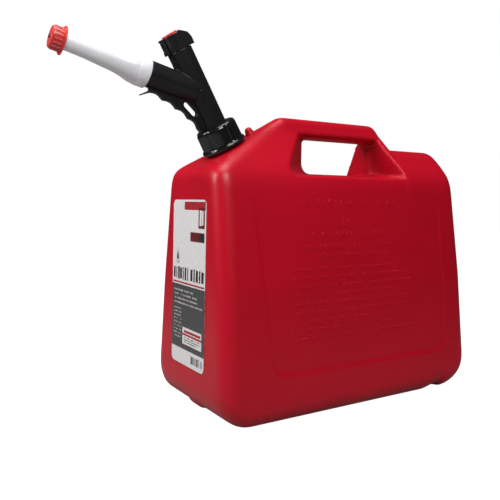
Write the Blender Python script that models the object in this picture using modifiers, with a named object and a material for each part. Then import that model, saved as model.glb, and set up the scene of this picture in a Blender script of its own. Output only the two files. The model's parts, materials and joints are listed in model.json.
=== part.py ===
# A fuel jerry can with a press-to-pour spout, modelled piece by piece.
# Metres, +Z up. The origin is the centre of the tank's flat base. +X is the rear, and the
# spout and the label face -X. Spout pieces are drawn in the neck's own frame: its Z runs up
# the neck from the foot of the ring nut, and "front" there means towards the pouring side.
from math import cos, pi, radians, sin, sqrt, tan

import bmesh
import bpy
from mathutils import Matrix, Vector

FIT = 0.0003                      # gap between pieces that sit on each other

# Tank
HALF_LENGTH = 0.202
WALL = 0.0028
LENGTH_TAPER = 0.0125             # the end walls lean in by this share over TAPER_HEIGHT
TAPER_HEIGHT = 0.150
TAPER_POWER = 6
# half width of the tank at each height: the walls lean in, and fold over towards the handle
HALF_WIDTHS = ((0.0, 0.104), (0.162, 0.088), (0.285, 0.0705), (0.2985, 0.0662), (0.310, 0.0572),
               (0.328, 0.0417), (0.3545, 0.0192), (0.362, 0.0168), (0.380, 0.0150))
UPRIGHT_RADIUS = 0.021
SIDE_BOTTOM_RADIUS = 0.023
SIDE_TOP_RADIUS = 0.012
FRONT_BOTTOM_RADIUS = 0.038
REAR_BOTTOM_RADIUS = 0.050
HANDLE_TOP = 0.3735
SHOULDER_TOP = 0.339
SHOULDER_EDGE = 0.300
NOTCH_HEIGHT = 0.005              # finger notch under the rear edge
ARC_STEPS = 3
WALL_SHARES = (0.0, 0.42, 0.78, 0.84, 0.92, 1.0)

# Handle gap: two tapered pockets that meet at the mirror plane. Each section is its distance
# from that plane, then its top, front, floor, rear edge at the floor and rear edge at the top.
GAP_CORNER = 0.013
GAP_SECTIONS = ((0.0, 0.3472, -0.0313, 0.3013, 0.0890, 0.0890), (0.008, 0.3474, -0.0385, 0.3007, 0.0905, 0.0882),
                (0.016, 0.3500, -0.0481, 0.3001, 0.0922, 0.0868), (0.022, 0.3550, -0.0544, 0.2996, 0.0933, 0.0858),
                (0.030, 0.3640, -0.0628, 0.2990, 0.0950, 0.0855), (0.045, 0.3800, -0.0786, 0.2979, 0.0980, 0.0860),
                (0.090, 0.4300, -0.1258, 0.2945, 0.1070, 0.0880))
FRONT_GROWTH = 1.45               # the front of the gap is skewed, so it needs more growth for the same wall

# Neck, at right angles to the front slope
NECK_TILT = radians(29.6)
NECK_FOOT = Vector((-0.1523, 0.0, 0.33166))
SLOPE_DROP = 0.0036               # the slope lies this far below the nut's foot
NECK_RADIUS = 0.0200
NECK_BORE = 0.0165
NECK_RIM = 0.0185
THREAD_LEAD = 0.005
THREAD_CREST = 0.0222
THREAD_TURNS = 1.5
THREAD_START = 0.0035
THREAD_STEPS = 24
THREAD_PHASE = pi / 36             # keeps the ridge's edges off the wall's own edges

# The moulding is kept as three solids, so that collision can follow its hollow and its grip
SEAM_HEIGHT = 0.2880
BAR_FRONT = -0.0270
BAR_REAR = 0.0830
BAR_FOOT = 0.3440
STOP_DISTANCE = 0.0414            # the nut's stop boss stands behind the neck
STOP_RADIUS = 0.0050
STOP_HEIGHT = 0.0055

# Ring nut
NUT_HEIGHT = 0.0285
NUT_RADIUS = 0.0271
NUT_SKIRT = 0.0286
NUT_THREAD_ROOT = 0.0228
NUT_THREAD_CREST = 0.0205
NUT_HOLE = 0.0157
NUT_CEILING = 0.0239
NUT_LOBES = 6
NUT_LOBE_DEPTH = 0.0013

# Spout body
STEM_RADIUS = 0.0152
STEM_BORE = 0.0130
STEM_TOP = 0.1255
FLANGE_RADIUS = 0.0200
FLANGE_FOOT = 0.0209
FLANGE_TOP = 0.0236
INLET_BORE = 0.0100
INLET_FOOT = -0.0020
ARM_JOINT = 0.0709
ARM_ANGLE = radians(47.0)
ARM_RADIUS = 0.0156
ARM_BORE = 0.0118
ARM_END = 0.0696
SPIGOT_RADIUS = 0.0136
SPIGOT_END = 0.0808
RING_GROOVE = (0.0740, 0.0758)
GRIP_THICKNESS = 0.0090
GRIP_CUSPS = ((0.0234, 0.0350), (0.0290, 0.0510), (0.0377, 0.0677), (0.0482, 0.0834), (0.0595, 0.0983))
GRIP_SCALLOP = 0.0028             # depth of each finger scallop
GRIP_FOOT = 0.0293
HOOK_TIP = (0.0712, 0.0999)
HOOK_THICKNESS = 0.0014
SLOT_CENTRES = ((0.0194, 0.0536), (0.0237, 0.0664))
SLOT_RADIUS = 0.0032

# Head of the spout, up the neck from the ring nut's foot.
# Plans that are round in front and square behind: radius, front, rear and rear corner
HEAD_PLAN = (0.0151, 0.0151, 0.0158, 0.0016)
WELL_PLAN = (0.0122, 0.0133, 0.0024, 0.0010)
BUTTON_PLAN = (0.0116, 0.0128, 0.0018, 0.0006)
WELL_FLOOR = 0.1335
HEAD_TOP = 0.1465
COLLAR = (0.0127, 0.1180, 0.1275)  # radius, low and high
LOCK_SLOT = (0.0080, 0.1252, 0.1329)
LOCK_TONGUE = (0.0070, 0.1300, 0.1325)
TONGUE_END = 0.0128
LOCK_TOP = 0.1443
BUTTON_FOOT = 0.1395
BUTTON_TOP = 0.1475
BUTTON_STEM = 0.0060
BUTTON_DISC = (0.0100, 0.1275, 0.1290)
BLOCK_HEIGHT = 0.050
ROD_RADIUS = 0.0022
LOCK_START = 0.0156
LOCK_THICKNESS = 0.0028
LOCK_HALF_WIDTH = 0.0050

# Nozzle and cap, measured along the arm from its joint with the stem
NOZZLE_START = ARM_END + FIT
NOZZLE_WALL = 0.0016
NOZZLE_OUTSIDE = ((0.0162, 0.0), (0.0176, 0.0008), (0.0178, 0.0135), (0.0171, 0.0142), (0.0169, 0.0185),
                  (0.0157, 0.0235), (0.0137, 0.0305), (0.0122, 0.0385), (0.0112, 0.0510), (0.0100, 0.0640),
                  (0.0092, 0.0760), (0.0090, 0.1074))
CAP_FOOT = 0.1671
CAP_END = 0.1813
CAP_RADIUS = 0.0128
CAP_FLANGE = 0.0158
CAP_BORE = 0.0095
CAP_RIBS = 20
CAP_RIB_DEPTH = 0.0006

# Label
LABEL_HALF_WIDTH = 0.045
LABEL_LOW = 0.0575
LABEL_HIGH = 0.2646
LABEL_THICKNESS = 0.0004
LABEL_CORNER = 0.007

ROUND_STEPS = 24


def clear_scene():
    for item in list(bpy.data.objects):
        bpy.data.objects.remove(item, do_unlink=True)


def make_collection(name):
    collection = bpy.data.collections.new(name)
    bpy.context.scene.collection.children.link(collection)
    return collection


def make_material(name, color, roughness, metallic=0.0):
    material = bpy.data.materials.new(name)
    material.use_nodes = True
    shader = material.node_tree.nodes["Principled BSDF"]
    shader.inputs["Base Color"].default_value = (*color, 1.0)
    shader.inputs["Roughness"].default_value = roughness
    shader.inputs["Metallic"].default_value = metallic
    return material


def mesh_object(name, bm, place, parent=None):
    # place is (collection, material), with None for a cutter's material
    bmesh.ops.recalc_face_normals(bm, faces=bm.faces[:])
    if bm.calc_volume(signed=True) < 0:
        bmesh.ops.reverse_faces(bm, faces=bm.faces[:])
    mesh = bpy.data.meshes.new(name)
    bm.to_mesh(mesh)
    bm.free()
    return link_object(name, mesh, place, parent)


def link_object(name, data, place, parent=None):
    item = bpy.data.objects.new(name, data)
    collection, material = place
    collection.objects.link(item)
    item.parent = parent
    if material is None:
        item.hide_render = True
        item.display_type = 'WIRE'
    else:
        data.materials.append(material)
    return item


def boolean(item, other, operation):
    modifier = item.modifiers.new(f"{operation.title()} {other.name}", 'BOOLEAN')
    modifier.operation = operation
    modifier.object = other
    modifier.solver = 'EXACT'


def block(name, sides, cutters):
    # a cutting block across the whole width: front, rear, foot and top
    front, rear, foot, top = sides
    bm = bmesh.new()
    bmesh.ops.create_cube(bm, size=1.0)
    middle = Vector(((front + rear) / 2, 0.0, (foot + top) / 2))
    bmesh.ops.scale(bm, vec=(rear - front, 0.4, top - foot), verts=bm.verts[:])
    bmesh.ops.translate(bm, vec=middle, verts=bm.verts[:])
    return mesh_object(name, bm, (cutters, None))


def shade_round(item, angle=35):
    item.data.shade_smooth()
    item.data.set_sharp_from_angle(angle=radians(angle))


def turned(name, profile, place, parent, steps=ROUND_STEPS, closed=False):
    # profile is (radius, height) down the outer side from top to bottom
    bm = bmesh.new()
    points = [bm.verts.new((radius, 0.0, height)) for radius, height in profile]
    pairs = list(zip(points, points[1:]))
    if closed:
        pairs.append((points[-1], points[0]))
    for first, second in pairs:
        bm.edges.new((first, second))
    mesh = bpy.data.meshes.new(name)
    bm.to_mesh(mesh)
    bm.free()
    item = link_object(name, mesh, place, parent)
    screw = item.modifiers.new("Turn", 'SCREW')
    screw.steps = steps
    screw.render_steps = steps
    screw.use_merge_vertices = True
    screw.merge_threshold = 0.00002
    screw.use_smooth_shade = True
    return item


def washer(name, inner, outer, foot, top, place, parent, steps=ROUND_STEPS):
    profile = ((inner, top), (outer, top), (outer, foot), (inner, foot))
    return turned(name, profile, place, parent, steps, closed=True)


def plate(name, outline, thickness, place, parent, upright=True):
    # A flat outline given a thickness. Upright plates lie in the mirror plane: the outline's
    # first number points to the front of the spout and the second one up its neck.
    curve = bpy.data.curves.new(name, 'CURVE')
    curve.dimensions = '2D'
    curve.fill_mode = 'BOTH'
    curve.extrude = thickness / 2
    spline = curve.splines.new('POLY')
    spline.points.add(len(outline) - 1)
    for point, (across, along) in zip(spline.points, outline):
        point.co = (across, along, 0.0, 1.0)
    spline.use_cyclic_u = True
    flat = bpy.data.objects.new(name, curve)
    bpy.context.scene.collection.objects.link(flat)
    graph = bpy.context.evaluated_depsgraph_get()
    mesh = bpy.data.meshes.new_from_object(flat.evaluated_get(graph))
    bpy.data.objects.remove(flat, do_unlink=True)
    bm = bmesh.new()
    bm.from_mesh(mesh)
    bmesh.ops.remove_doubles(bm, verts=bm.verts[:], dist=0.00002)
    turn = Matrix(((-1, 0, 0), (0, 0, 1), (0, 1, 0)))
    if not upright:
        turn = Matrix.Identity(3)
    for vertex in bm.verts:
        vertex.co = turn @ vertex.co
    return mesh_object(name, bm, place, parent)


def rounded_outline(corners, steps=ARC_STEPS, cyclic=True):
    # corners are (x, z, radius); an open chain drops its first and last corner
    count = len(corners)
    indices = range(count) if cyclic else range(1, count - 1)
    points = []
    for index in indices:
        corner = Vector(corners[index][:2])
        to_before = (Vector(corners[index - 1][:2]) - corner).normalized()
        to_after = (Vector(corners[(index + 1) % count][:2]) - corner).normalized()
        radius = corners[index][2]
        if radius == 0:
            points.append(corner)
            continue
        half_angle = to_before.angle(to_after) / 2
        reach = radius / tan(half_angle)
        middle = corner + (to_before + to_after).normalized() * radius / sin(half_angle)
        start = corner + to_before * reach - middle
        end = corner + to_after * reach - middle
        for step in range(steps + 1):
            points.append(middle + start.slerp(end, step / steps).normalized() * radius)
    return points


def read_chain(chain, x):
    for (x_low, z_low), (x_high, z_high) in zip(chain, chain[1:]):
        if x_low <= x <= x_high and x_high > x_low:
            return z_low + (z_high - z_low) * (x - x_low) / (x_high - x_low)
    return chain[0][1] if x < chain[0][0] else chain[-1][1]


def loft(bm, rings, closed=False):
    rows = [[bm.verts.new(point) for point in ring] for ring in rings]
    pairs = list(zip(rows, rows[1:]))
    if closed:
        pairs.append((rows[-1], rows[0]))
    for low, high in pairs:
        for index in range(len(low)):
            after = (index + 1) % len(low)
            bm.faces.new((low[index], low[after], high[after], high[index]))
    if not closed:
        bm.faces.new(rows[0])
        bm.faces.new(rows[-1])


def slope_height(x):
    # height of the front slope, which is square to the neck
    foot_x = NECK_FOOT.x + SLOPE_DROP * sin(NECK_TILT)
    foot_z = NECK_FOOT.z - SLOPE_DROP * cos(NECK_TILT)
    return foot_z + (x - foot_x) * tan(NECK_TILT)


def tank_chains():
    handle_front = NECK_FOOT.x + (HANDLE_TOP - slope_height(NECK_FOOT.x)) / tan(NECK_TILT)
    top = ((-HALF_LENGTH, 0.2, 0), (-HALF_LENGTH, slope_height(-HALF_LENGTH), 0.016),
           (handle_front, HANDLE_TOP, 0.010), (0.088, HANDLE_TOP, 0.010), (0.103, SHOULDER_TOP, 0.006),
           (0.186, SHOULDER_TOP, 0.006), (HALF_LENGTH, SHOULDER_EDGE, 0.012), (HALF_LENGTH, 0.2, 0))
    base = ((-HALF_LENGTH, 0.1, 0), (-HALF_LENGTH, 0.0, FRONT_BOTTOM_RADIUS), (0.118, 0.0, 0),
            (0.143, NOTCH_HEIGHT, 0), (0.1485, NOTCH_HEIGHT, 0), (0.1505, 0.0, 0),
            (HALF_LENGTH, 0.0, REAR_BOTTOM_RADIUS), (HALF_LENGTH, 0.1, 0))
    return rounded_outline(top, 4, False), rounded_outline(base, 5, False)


def half_width(height):
    return read_chain(HALF_WIDTHS, height)


def round_off(depth, radius):
    # how far a rounded edge draws in at a given depth below its tangent line
    if depth >= radius:
        return 0.0
    return radius - sqrt(max(0.0, radius ** 2 - (radius - depth) ** 2))


def tank_levels(low, high, side_radius, top_radius):
    levels = [low + side_radius * (1 - cos(step * pi / 6)) for step in range(3)]
    start = low + side_radius
    end = high - top_radius
    levels += [start + (end - start) * share for share in WALL_SHARES]
    levels += [end + top_radius * sin(step * pi / 6) for step in range(1, 4)]
    return levels


def tank_section(x, low, high, inset, draw_in):
    side_radius = SIDE_BOTTOM_RADIUS - inset
    top_radius = SIDE_TOP_RADIUS - inset
    right = []
    for height in tank_levels(low, high, side_radius, top_radius):
        width = half_width(height) - inset - draw_in
        width -= round_off(height - low, side_radius) + round_off(high - height, top_radius)
        lean = 1 + LENGTH_TAPER * (1 - height / TAPER_HEIGHT) * (abs(x) / HALF_LENGTH) ** TAPER_POWER
        right.append((x * lean, width, height))
    left = [(place, -width, height) for place, width, height in reversed(right)]
    return right + left


def tank_hull(name, inset, place):
    top, base = tank_chains()
    half_length = HALF_LENGTH - inset
    corner = UPRIGHT_RADIUS - inset
    stations = {round(x, 5) for x, _ in top + base if abs(x) < half_length - 0.0004}
    for step in range(6):
        edge = half_length - corner * (1 - cos(step * pi / 10))
        stations |= {round(edge, 5), round(-edge, 5)}
    ordered = sorted(stations)
    kept = [ordered[0]]
    for x in ordered[1:]:
        if x - kept[-1] > 0.0016 or x == ordered[-1]:
            kept.append(x)
    rings = []
    for x in kept:
        reach = min(max(x, -HALF_LENGTH), HALF_LENGTH) * HALF_LENGTH / half_length
        low = read_chain(base, reach) + inset
        high = read_chain(top, reach) - inset
        rings.append(tank_section(x, low, high, inset, round_off(half_length - abs(x), corner)))
    bm = bmesh.new()
    loft(bm, rings)
    return mesh_object(name, bm, place)


def handle_gap(name, growth, place):
    rings = []
    sections = [(-y, *rest) for y, *rest in reversed(GAP_SECTIONS[1:])] + list(GAP_SECTIONS)
    for y, top, front, floor, rear_floor, rear_top in sections:
        front -= growth * FRONT_GROWTH
        outline = rounded_outline(((front, top + growth, 0.004), (front, floor - growth, GAP_CORNER),
                                   (rear_floor + growth, floor - growth, 0.004),
                                   (rear_top + growth, top + growth, 0.003)))
        rings.append([(x, y, z) for x, z in outline])
    bm = bmesh.new()
    loft(bm, rings)
    return mesh_object(name, bm, place)


def thread(name, root, crest, start, phase, place, parent):
    # A trapezoid ridge wound up the neck's axis; its root is buried in the wall it stands on.
    root_half = 0.0011
    crest_half = 0.0005
    bm = bmesh.new()
    profile = ((root, -root_half), (crest, -crest_half), (crest, crest_half), (root, root_half))
    corners = [bm.verts.new((radius, 0.0, start + height)) for radius, height in profile]
    face = bm.faces.new(corners)
    geometry = [face] + list(face.edges) + corners
    steps = int(THREAD_STEPS * THREAD_TURNS)
    bmesh.ops.spin(bm, geom=geometry, cent=(0, 0, 0), axis=(0, 0, 1), angle=2 * pi * THREAD_TURNS,
                   dvec=(0, 0, THREAD_LEAD / THREAD_STEPS), steps=steps)
    bmesh.ops.rotate(bm, verts=bm.verts[:], cent=(0, 0, 0), matrix=Matrix.Rotation(phase, 3, 'Z'))
    return mesh_object(name, bm, place, parent)


def lobed_ring(name, rings, lobes, segments, place, parent):
    # rings are (radius, height, lobe depth) round a closed wall section
    bm = bmesh.new()
    rows = []
    for radius, height, depth in rings:
        row = []
        for index in range(segments):
            angle = 2 * pi * index / segments
            reach = radius - depth * (1 - abs(cos(lobes * angle / 2)) ** 0.5)
            row.append((reach * cos(angle), reach * sin(angle), height))
        rows.append(row)
    loft(bm, rows, closed=True)
    item = mesh_object(name, bm, place, parent)
    shade_round(item)
    return item


def make_tank(parts, cutters, red, neck):
    tank = tank_hull("tank", 0.0, (parts, red))
    top = tank_hull("tank_top", 0.0, (parts, red))
    bar = tank_hull("tank_handle", 0.0, (parts, red))
    gap = handle_gap("handle_gap", 0.0, (cutters, None))
    hollow = tank_hull("tank_hollow", WALL, (cutters, None))
    boolean(hollow, handle_gap("handle_gap_wall", WALL, (cutters, None)), 'DIFFERENCE')
    wall_foot = -0.0060
    wall_profile = ((0.0, NECK_RIM), (NECK_RADIUS, NECK_RIM), (NECK_RADIUS, wall_foot), (0.0, wall_foot))
    wall = turned("neck_wall", wall_profile, (cutters, None), neck, THREAD_STEPS)
    bore_profile = ((0.0, 0.024), (NECK_BORE, 0.024), (NECK_BORE, -0.012), (0.0, -0.012))
    bore = turned("neck_bore", bore_profile, (cutters, None), neck, THREAD_STEPS)
    ridge = thread("neck_thread", NECK_RADIUS - 0.0005, THREAD_CREST, THREAD_START, THREAD_PHASE, (cutters, None), neck)
    stop_profile = ((0.0, STOP_HEIGHT), (0.0028, STOP_HEIGHT - 0.0005), (0.0041, STOP_HEIGHT - 0.0020),
                    (STOP_RADIUS, STOP_HEIGHT - 0.0040), (STOP_RADIUS, -0.0055), (0.0, -0.0055))
    stop = turned("nut_stop", stop_profile, (cutters, None), neck, 16)
    stop.location = (STOP_DISTANCE, 0.0, 0.0)
    boolean(wall, ridge, 'UNION')
    boolean(tank, block("below_seam", (-0.3, 0.3, -0.1, SEAM_HEIGHT), cutters), 'INTERSECT')
    boolean(tank, hollow, 'DIFFERENCE')
    boolean(top, block("above_seam", (-0.3, 0.3, SEAM_HEIGHT + FIT, 0.5), cutters), 'INTERSECT')
    boolean(top, block("bar_space", (BAR_FRONT, BAR_REAR, BAR_FOOT, 0.4), cutters), 'DIFFERENCE')
    boolean(top, gap, 'DIFFERENCE')
    boolean(top, stop, 'UNION')
    boolean(top, hollow, 'DIFFERENCE')
    boolean(top, wall, 'UNION')
    boolean(top, bore, 'DIFFERENCE')
    boolean(bar, block("bar_ends", (BAR_FRONT + FIT, BAR_REAR - FIT, BAR_FOOT, 0.4), cutters), 'INTERSECT')
    boolean(bar, gap, 'DIFFERENCE')
    boolean(bar, hollow, 'DIFFERENCE')
    for item in (tank, top, bar):
        shade_round(item)


def make_label(parts, paper):
    middle = (LABEL_LOW + LABEL_HIGH) / 2
    half_height = (LABEL_HIGH - LABEL_LOW) / 2
    outline = rounded_outline(((-LABEL_HALF_WIDTH, -half_height, LABEL_CORNER),
                               (LABEL_HALF_WIDTH, -half_height, LABEL_CORNER),
                               (LABEL_HALF_WIDTH, half_height, LABEL_CORNER),
                               (-LABEL_HALF_WIDTH, half_height, LABEL_CORNER)))
    label = plate("front_label", outline, LABEL_THICKNESS, (parts, paper), None, upright=False)
    lean = HALF_LENGTH * LENGTH_TAPER / TAPER_HEIGHT
    wall = -HALF_LENGTH * (1 + LENGTH_TAPER) + lean * middle
    label.location = (wall - FIT - LABEL_THICKNESS / 2, 0.0, middle)
    upright = Matrix(((0, 0, 1), (1, 0, 0), (0, 1, 0))).to_4x4()
    label.rotation_euler = (Matrix.Rotation(lean, 4, 'Y') @ upright).to_euler()


def make_nut(parts, cutters, black, neck):
    rings = ((NUT_THREAD_ROOT, 0.0, 0), (NUT_SKIRT, 0.0, 0), (NUT_SKIRT, 0.0030, 0),
             (NUT_RADIUS, 0.0048, NUT_LOBE_DEPTH), (NUT_RADIUS - 0.0004, 0.0230, NUT_LOBE_DEPTH),
             (NUT_RADIUS - 0.0022, 0.0267, NUT_LOBE_DEPTH / 2), (NUT_RADIUS - 0.0052, NUT_HEIGHT, 0),
             (NUT_HOLE, NUT_HEIGHT, 0), (NUT_HOLE, NUT_CEILING, 0), (NUT_THREAD_ROOT, NUT_CEILING, 0))
    nut = lobed_ring("ring_nut", rings, NUT_LOBES, 8 * NUT_LOBES, (parts, black), neck)
    # half a lead from the neck's ridge, so that the two threads interleave
    start = THREAD_START + THREAD_LEAD / 2
    ridge = thread("nut_thread", NUT_THREAD_ROOT + 0.0005, NUT_THREAD_CREST, start, THREAD_PHASE, (cutters, None), neck)
    boolean(nut, ridge, 'UNION')


def scallops():
    points = []
    for (front_low, low), (front_high, high) in zip(GRIP_CUSPS, GRIP_CUSPS[1:]):
        start = Vector((front_low, low))
        chord = Vector((front_high, high)) - start
        inward = Vector((-chord.y, chord.x)).normalized()
        for step in range(5):
            share = step / 5
            points.append(start + chord * share + inward * GRIP_SCALLOP * sin(pi * share))
    return points


def make_body(parts, cutters, black, neck, arm):
    stem_profile = ((0.0, STEM_TOP), (STEM_RADIUS, STEM_TOP), (STEM_RADIUS, FLANGE_TOP),
                    (FLANGE_RADIUS, FLANGE_TOP), (FLANGE_RADIUS, FLANGE_FOOT), (0.0150, FLANGE_FOOT),
                    (0.0150, 0.0060), (0.0135, 0.0060), (0.0135, INLET_FOOT), (0.0, INLET_FOOT))
    body = turned("spout_body", stem_profile, (parts, black), neck)
    arm_profile = ((0.0, SPIGOT_END), (SPIGOT_RADIUS, SPIGOT_END), (SPIGOT_RADIUS, RING_GROOVE[1]),
                   (SPIGOT_RADIUS - 0.0012, RING_GROOVE[1]), (SPIGOT_RADIUS - 0.0012, RING_GROOVE[0]),
                   (SPIGOT_RADIUS, RING_GROOVE[0]), (SPIGOT_RADIUS, ARM_END), (ARM_RADIUS, ARM_END),
                   (ARM_RADIUS, 0.0080), (0.0146, 0.0), (0.0, 0.0))
    branch = turned("arm_tube", arm_profile, (cutters, None), arm)
    outline = [(0.0090, GRIP_FOOT), (0.0218, GRIP_FOOT)] + scallops()
    outline += [GRIP_CUSPS[-1], HOOK_TIP, (HOOK_TIP[0], HOOK_TIP[1] + HOOK_THICKNESS),
                (0.0593, 0.1006), (0.0573, 0.1032), (0.0500, 0.1056), (0.0110, 0.0720)]
    grip = plate("grip_web", outline, GRIP_THICKNESS, (cutters, None), neck)
    (low_front, low), (high_front, high) = SLOT_CENTRES
    run = Vector((high_front - low_front, high - low)).normalized()
    side = Vector((run.y, -run.x))
    slot_outline = []
    for centre, sign in ((Vector(SLOT_CENTRES[0]), 1), (Vector(SLOT_CENTRES[1]), -1)):
        for step in range(7):
            angle = pi * step / 6
            slot_outline.append(centre + SLOT_RADIUS * sign * (side * cos(angle) - run * sin(angle)))
    slot = plate("grip_slot", slot_outline, 0.030, (cutters, None), neck)
    bore_profile = ((0.0, 0.127), (STEM_BORE, 0.127), (STEM_BORE, 0.024), (0.0128, 0.020),
                    (0.0128, 0.010), (INLET_BORE, 0.0065), (INLET_BORE, -0.003), (0.0, -0.003))
    bore = turned("stem_bore", bore_profile, (cutters, None), neck)
    arm_bore = turned("arm_bore", ((0.0, 0.083), (ARM_BORE, 0.083), (ARM_BORE, 0.001), (0.0, 0.001)),
                      (cutters, None), arm, 24)
    boolean(body, branch, 'UNION')
    boolean(body, grip, 'UNION')
    boolean(body, slot, 'DIFFERENCE')
    boolean(body, bore, 'DIFFERENCE')
    boolean(body, arm_bore, 'DIFFERENCE')


def round_front(name, plan, middle, place, neck):
    # an upright block in the neck's frame, half round towards the nozzle
    radius, front, rear, corner = plan
    centre = radius - front
    outline = [Vector((centre - radius * cos(angle), radius * sin(angle)))
               for angle in (pi * step / 16 - pi / 2 for step in range(17))]
    for side in (1, -1):
        ends = [Vector((rear - corner, side * radius)), Vector((rear, side * (radius - corner)))]
        outline += ends if side > 0 else ends[::-1]
    block = plate(name, outline, BLOCK_HEIGHT, place, neck, upright=False)
    block.location = (0.0, 0.0, middle)
    return block


def make_head(parts, cutters, black, neck):
    foot = STEM_TOP + FIT
    side_view = ((0.020, foot), (0.020, HEAD_TOP - 0.0018), (0.0006, HEAD_TOP - 0.0016), (-0.0018, HEAD_TOP),
                 (-0.0110, 0.1412), (-0.0140, 0.1350), (-0.020, 0.1330), (-0.020, foot))
    head = plate("head_shroud", side_view, 0.040, (parts, black), neck)
    radius, low, high = COLLAR
    collar = turned("head_collar", ((0.0, high), (radius, high), (radius, low), (0.0, low)), (cutters, None), neck)
    stem_space = BUTTON_STEM + 2 * FIT
    disc_space = BUTTON_DISC[0] + 0.0007
    bore = turned("head_bore", ((0.0, 0.1412), (stem_space, 0.1412), (stem_space, 0.1348), (disc_space, 0.1348),
                                (disc_space, 0.1100), (0.0, 0.1100)), (cutters, None), neck, 24)
    well = round_front("button_well", WELL_PLAN, WELL_FLOOR + BLOCK_HEIGHT / 2, (cutters, None), neck)
    width, low, high = LOCK_SLOT
    lock_slot = plate("lock_slot", ((0.0080, low), (0.0200, low), (0.0200, high), (0.0080, high)),
                      width, (cutters, None), neck)
    boolean(head, round_front("head_plan", HEAD_PLAN, WELL_FLOOR, (cutters, None), neck), 'INTERSECT')
    boolean(head, collar, 'UNION')
    boolean(head, bore, 'DIFFERENCE')
    boolean(head, well, 'DIFFERENCE')
    boolean(head, lock_slot, 'DIFFERENCE')


def make_lock(parts, cutters, black, neck):
    foot = STEM_TOP - FIT
    end = LOCK_START + LOCK_THICKNESS
    outline = ((LOCK_START, foot), (end, foot), (end, LOCK_TOP - 0.0009), (end - 0.0008, LOCK_TOP),
               (LOCK_START, LOCK_TOP))
    lock = plate("lock_slide", outline, 2 * LOCK_HALF_WIDTH, (parts, black), neck)
    root = LOCK_START + 0.001
    width, low, high = LOCK_TONGUE
    tongue = plate("lock_tongue", ((TONGUE_END, low), (root, low), (root, high), (TONGUE_END, high)), width,
                   (cutters, None), neck)
    boolean(lock, tongue, 'UNION')


def make_button(parts, cutters, red, neck):
    outline = ((0.020, BUTTON_FOOT), (0.020, BUTTON_TOP - 0.0035), (0.0110, BUTTON_TOP - 0.0015),
               (-0.0030, BUTTON_TOP), (-0.0050, BUTTON_TOP), (-0.0050, BUTTON_FOOT))
    button = plate("thumb_button", outline, 0.040, (parts, red), neck)
    radius, low, high = BUTTON_DISC
    stem = turned("button_stem", ((0.0, BUTTON_FOOT + 0.001), (BUTTON_STEM, BUTTON_FOOT + 0.001),
                                  (BUTTON_STEM, high), (radius, high), (radius, low), (0.0, low)),
                  (cutters, None), neck, 24)
    boolean(button, round_front("button_plan", BUTTON_PLAN, WELL_FLOOR, (cutters, None), neck), 'INTERSECT')
    boolean(button, stem, 'UNION')


def make_spring(parts, steel, neck):
    # closed coil between the rod guide and the button's disc
    low = 0.1022
    high = 0.1262
    radius = 0.0080
    turns = 5
    per_turn = 10
    curve = bpy.data.curves.new("return_spring", 'CURVE')
    curve.dimensions = '3D'
    curve.bevel_depth = 0.0008
    curve.bevel_resolution = 1
    curve.use_fill_caps = True
    spline = curve.splines.new('POLY')
    count = turns * per_turn + 1
    spline.points.add(count - 1)
    for index, point in enumerate(spline.points):
        angle = 2 * pi * index / per_turn
        height = low + (high - low) * index / (count - 1)
        point.co = (radius * cos(angle), radius * sin(angle), height, 1.0)
    link_object("return_spring", curve, (parts, steel), neck)


def make_valve(parts, metal, seal, black, neck):
    turned("push_rod", ((0.0, 0.1272), (ROD_RADIUS, 0.1272), (ROD_RADIUS, -0.0035), (0.0, -0.0035)),
           (parts, metal), neck, 16)
    washer("rod_guide", ROD_RADIUS + 0.0005, STEM_BORE - FIT, 0.0985, 0.1010, (parts, black), neck)
    washer("rod_seal", ROD_RADIUS + FIT, 0.0048, 0.0962, 0.0982, (parts, seal), neck, 20)
    washer("rod_clip", ROD_RADIUS + FIT, 0.0046, 0.0950, 0.0958, (parts, metal), neck, 20)
    head_profile = ((0.0, -0.0038), (0.0122, -0.0038), (0.0122, -0.0060), (0.0090, -0.0075), (0.0, -0.0075))
    turned("valve_head", head_profile, (parts, black), neck)
    washer("valve_seal", 0.0103, 0.0119, -0.0035, -0.0023, (parts, seal), neck)


def make_arrester(parts, cutters, red, neck):
    profile = ((0.0138, 0.0054), (0.0158, 0.0054), (0.0158, -0.0340), (0.0060, -0.0340),
               (0.0060, -0.0325), (0.0138, -0.0325))
    cup = turned("flame_arrester", profile, (parts, red), neck, closed=True)
    for index in range(3):
        window = plate(f"arrester_window_{index}", ((-0.0040, -0.0290), (0.0040, -0.0290),
                                                    (0.0040, -0.0140), (-0.0040, -0.0140)),
                       0.040, (cutters, None), neck)
        window.rotation_euler = (0.0, 0.0, pi * index / 3)
        boolean(cup, window, 'DIFFERENCE')


def make_nozzle(parts, white, seal, black, arm):
    outside = [(radius, NOZZLE_START + along) for radius, along in NOZZLE_OUTSIDE]
    inside = [(radius - NOZZLE_WALL, along) for radius, along in outside if along > SPIGOT_END + 0.008]
    socket = [(SPIGOT_RADIUS + FIT, NOZZLE_START), (SPIGOT_RADIUS + FIT, SPIGOT_END + 0.0006)]
    throat = [(0.0136, SPIGOT_END + 0.0050)]
    profile = list(reversed(outside)) + socket + throat + inside
    turned("nozzle", profile, (parts, white), arm, closed=True)
    washer("nozzle_seal", SPIGOT_RADIUS - 0.0009, SPIGOT_RADIUS - 0.0001, RING_GROOVE[0] + FIT,
           RING_GROOVE[1] - FIT, (parts, seal), arm)
    tube = washer("vent_tube", 0.0015, 0.0024, 0.0180, 0.1718, (parts, black), arm, 12)
    tube.location = (0.0040, 0.0, 0.0)


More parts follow.
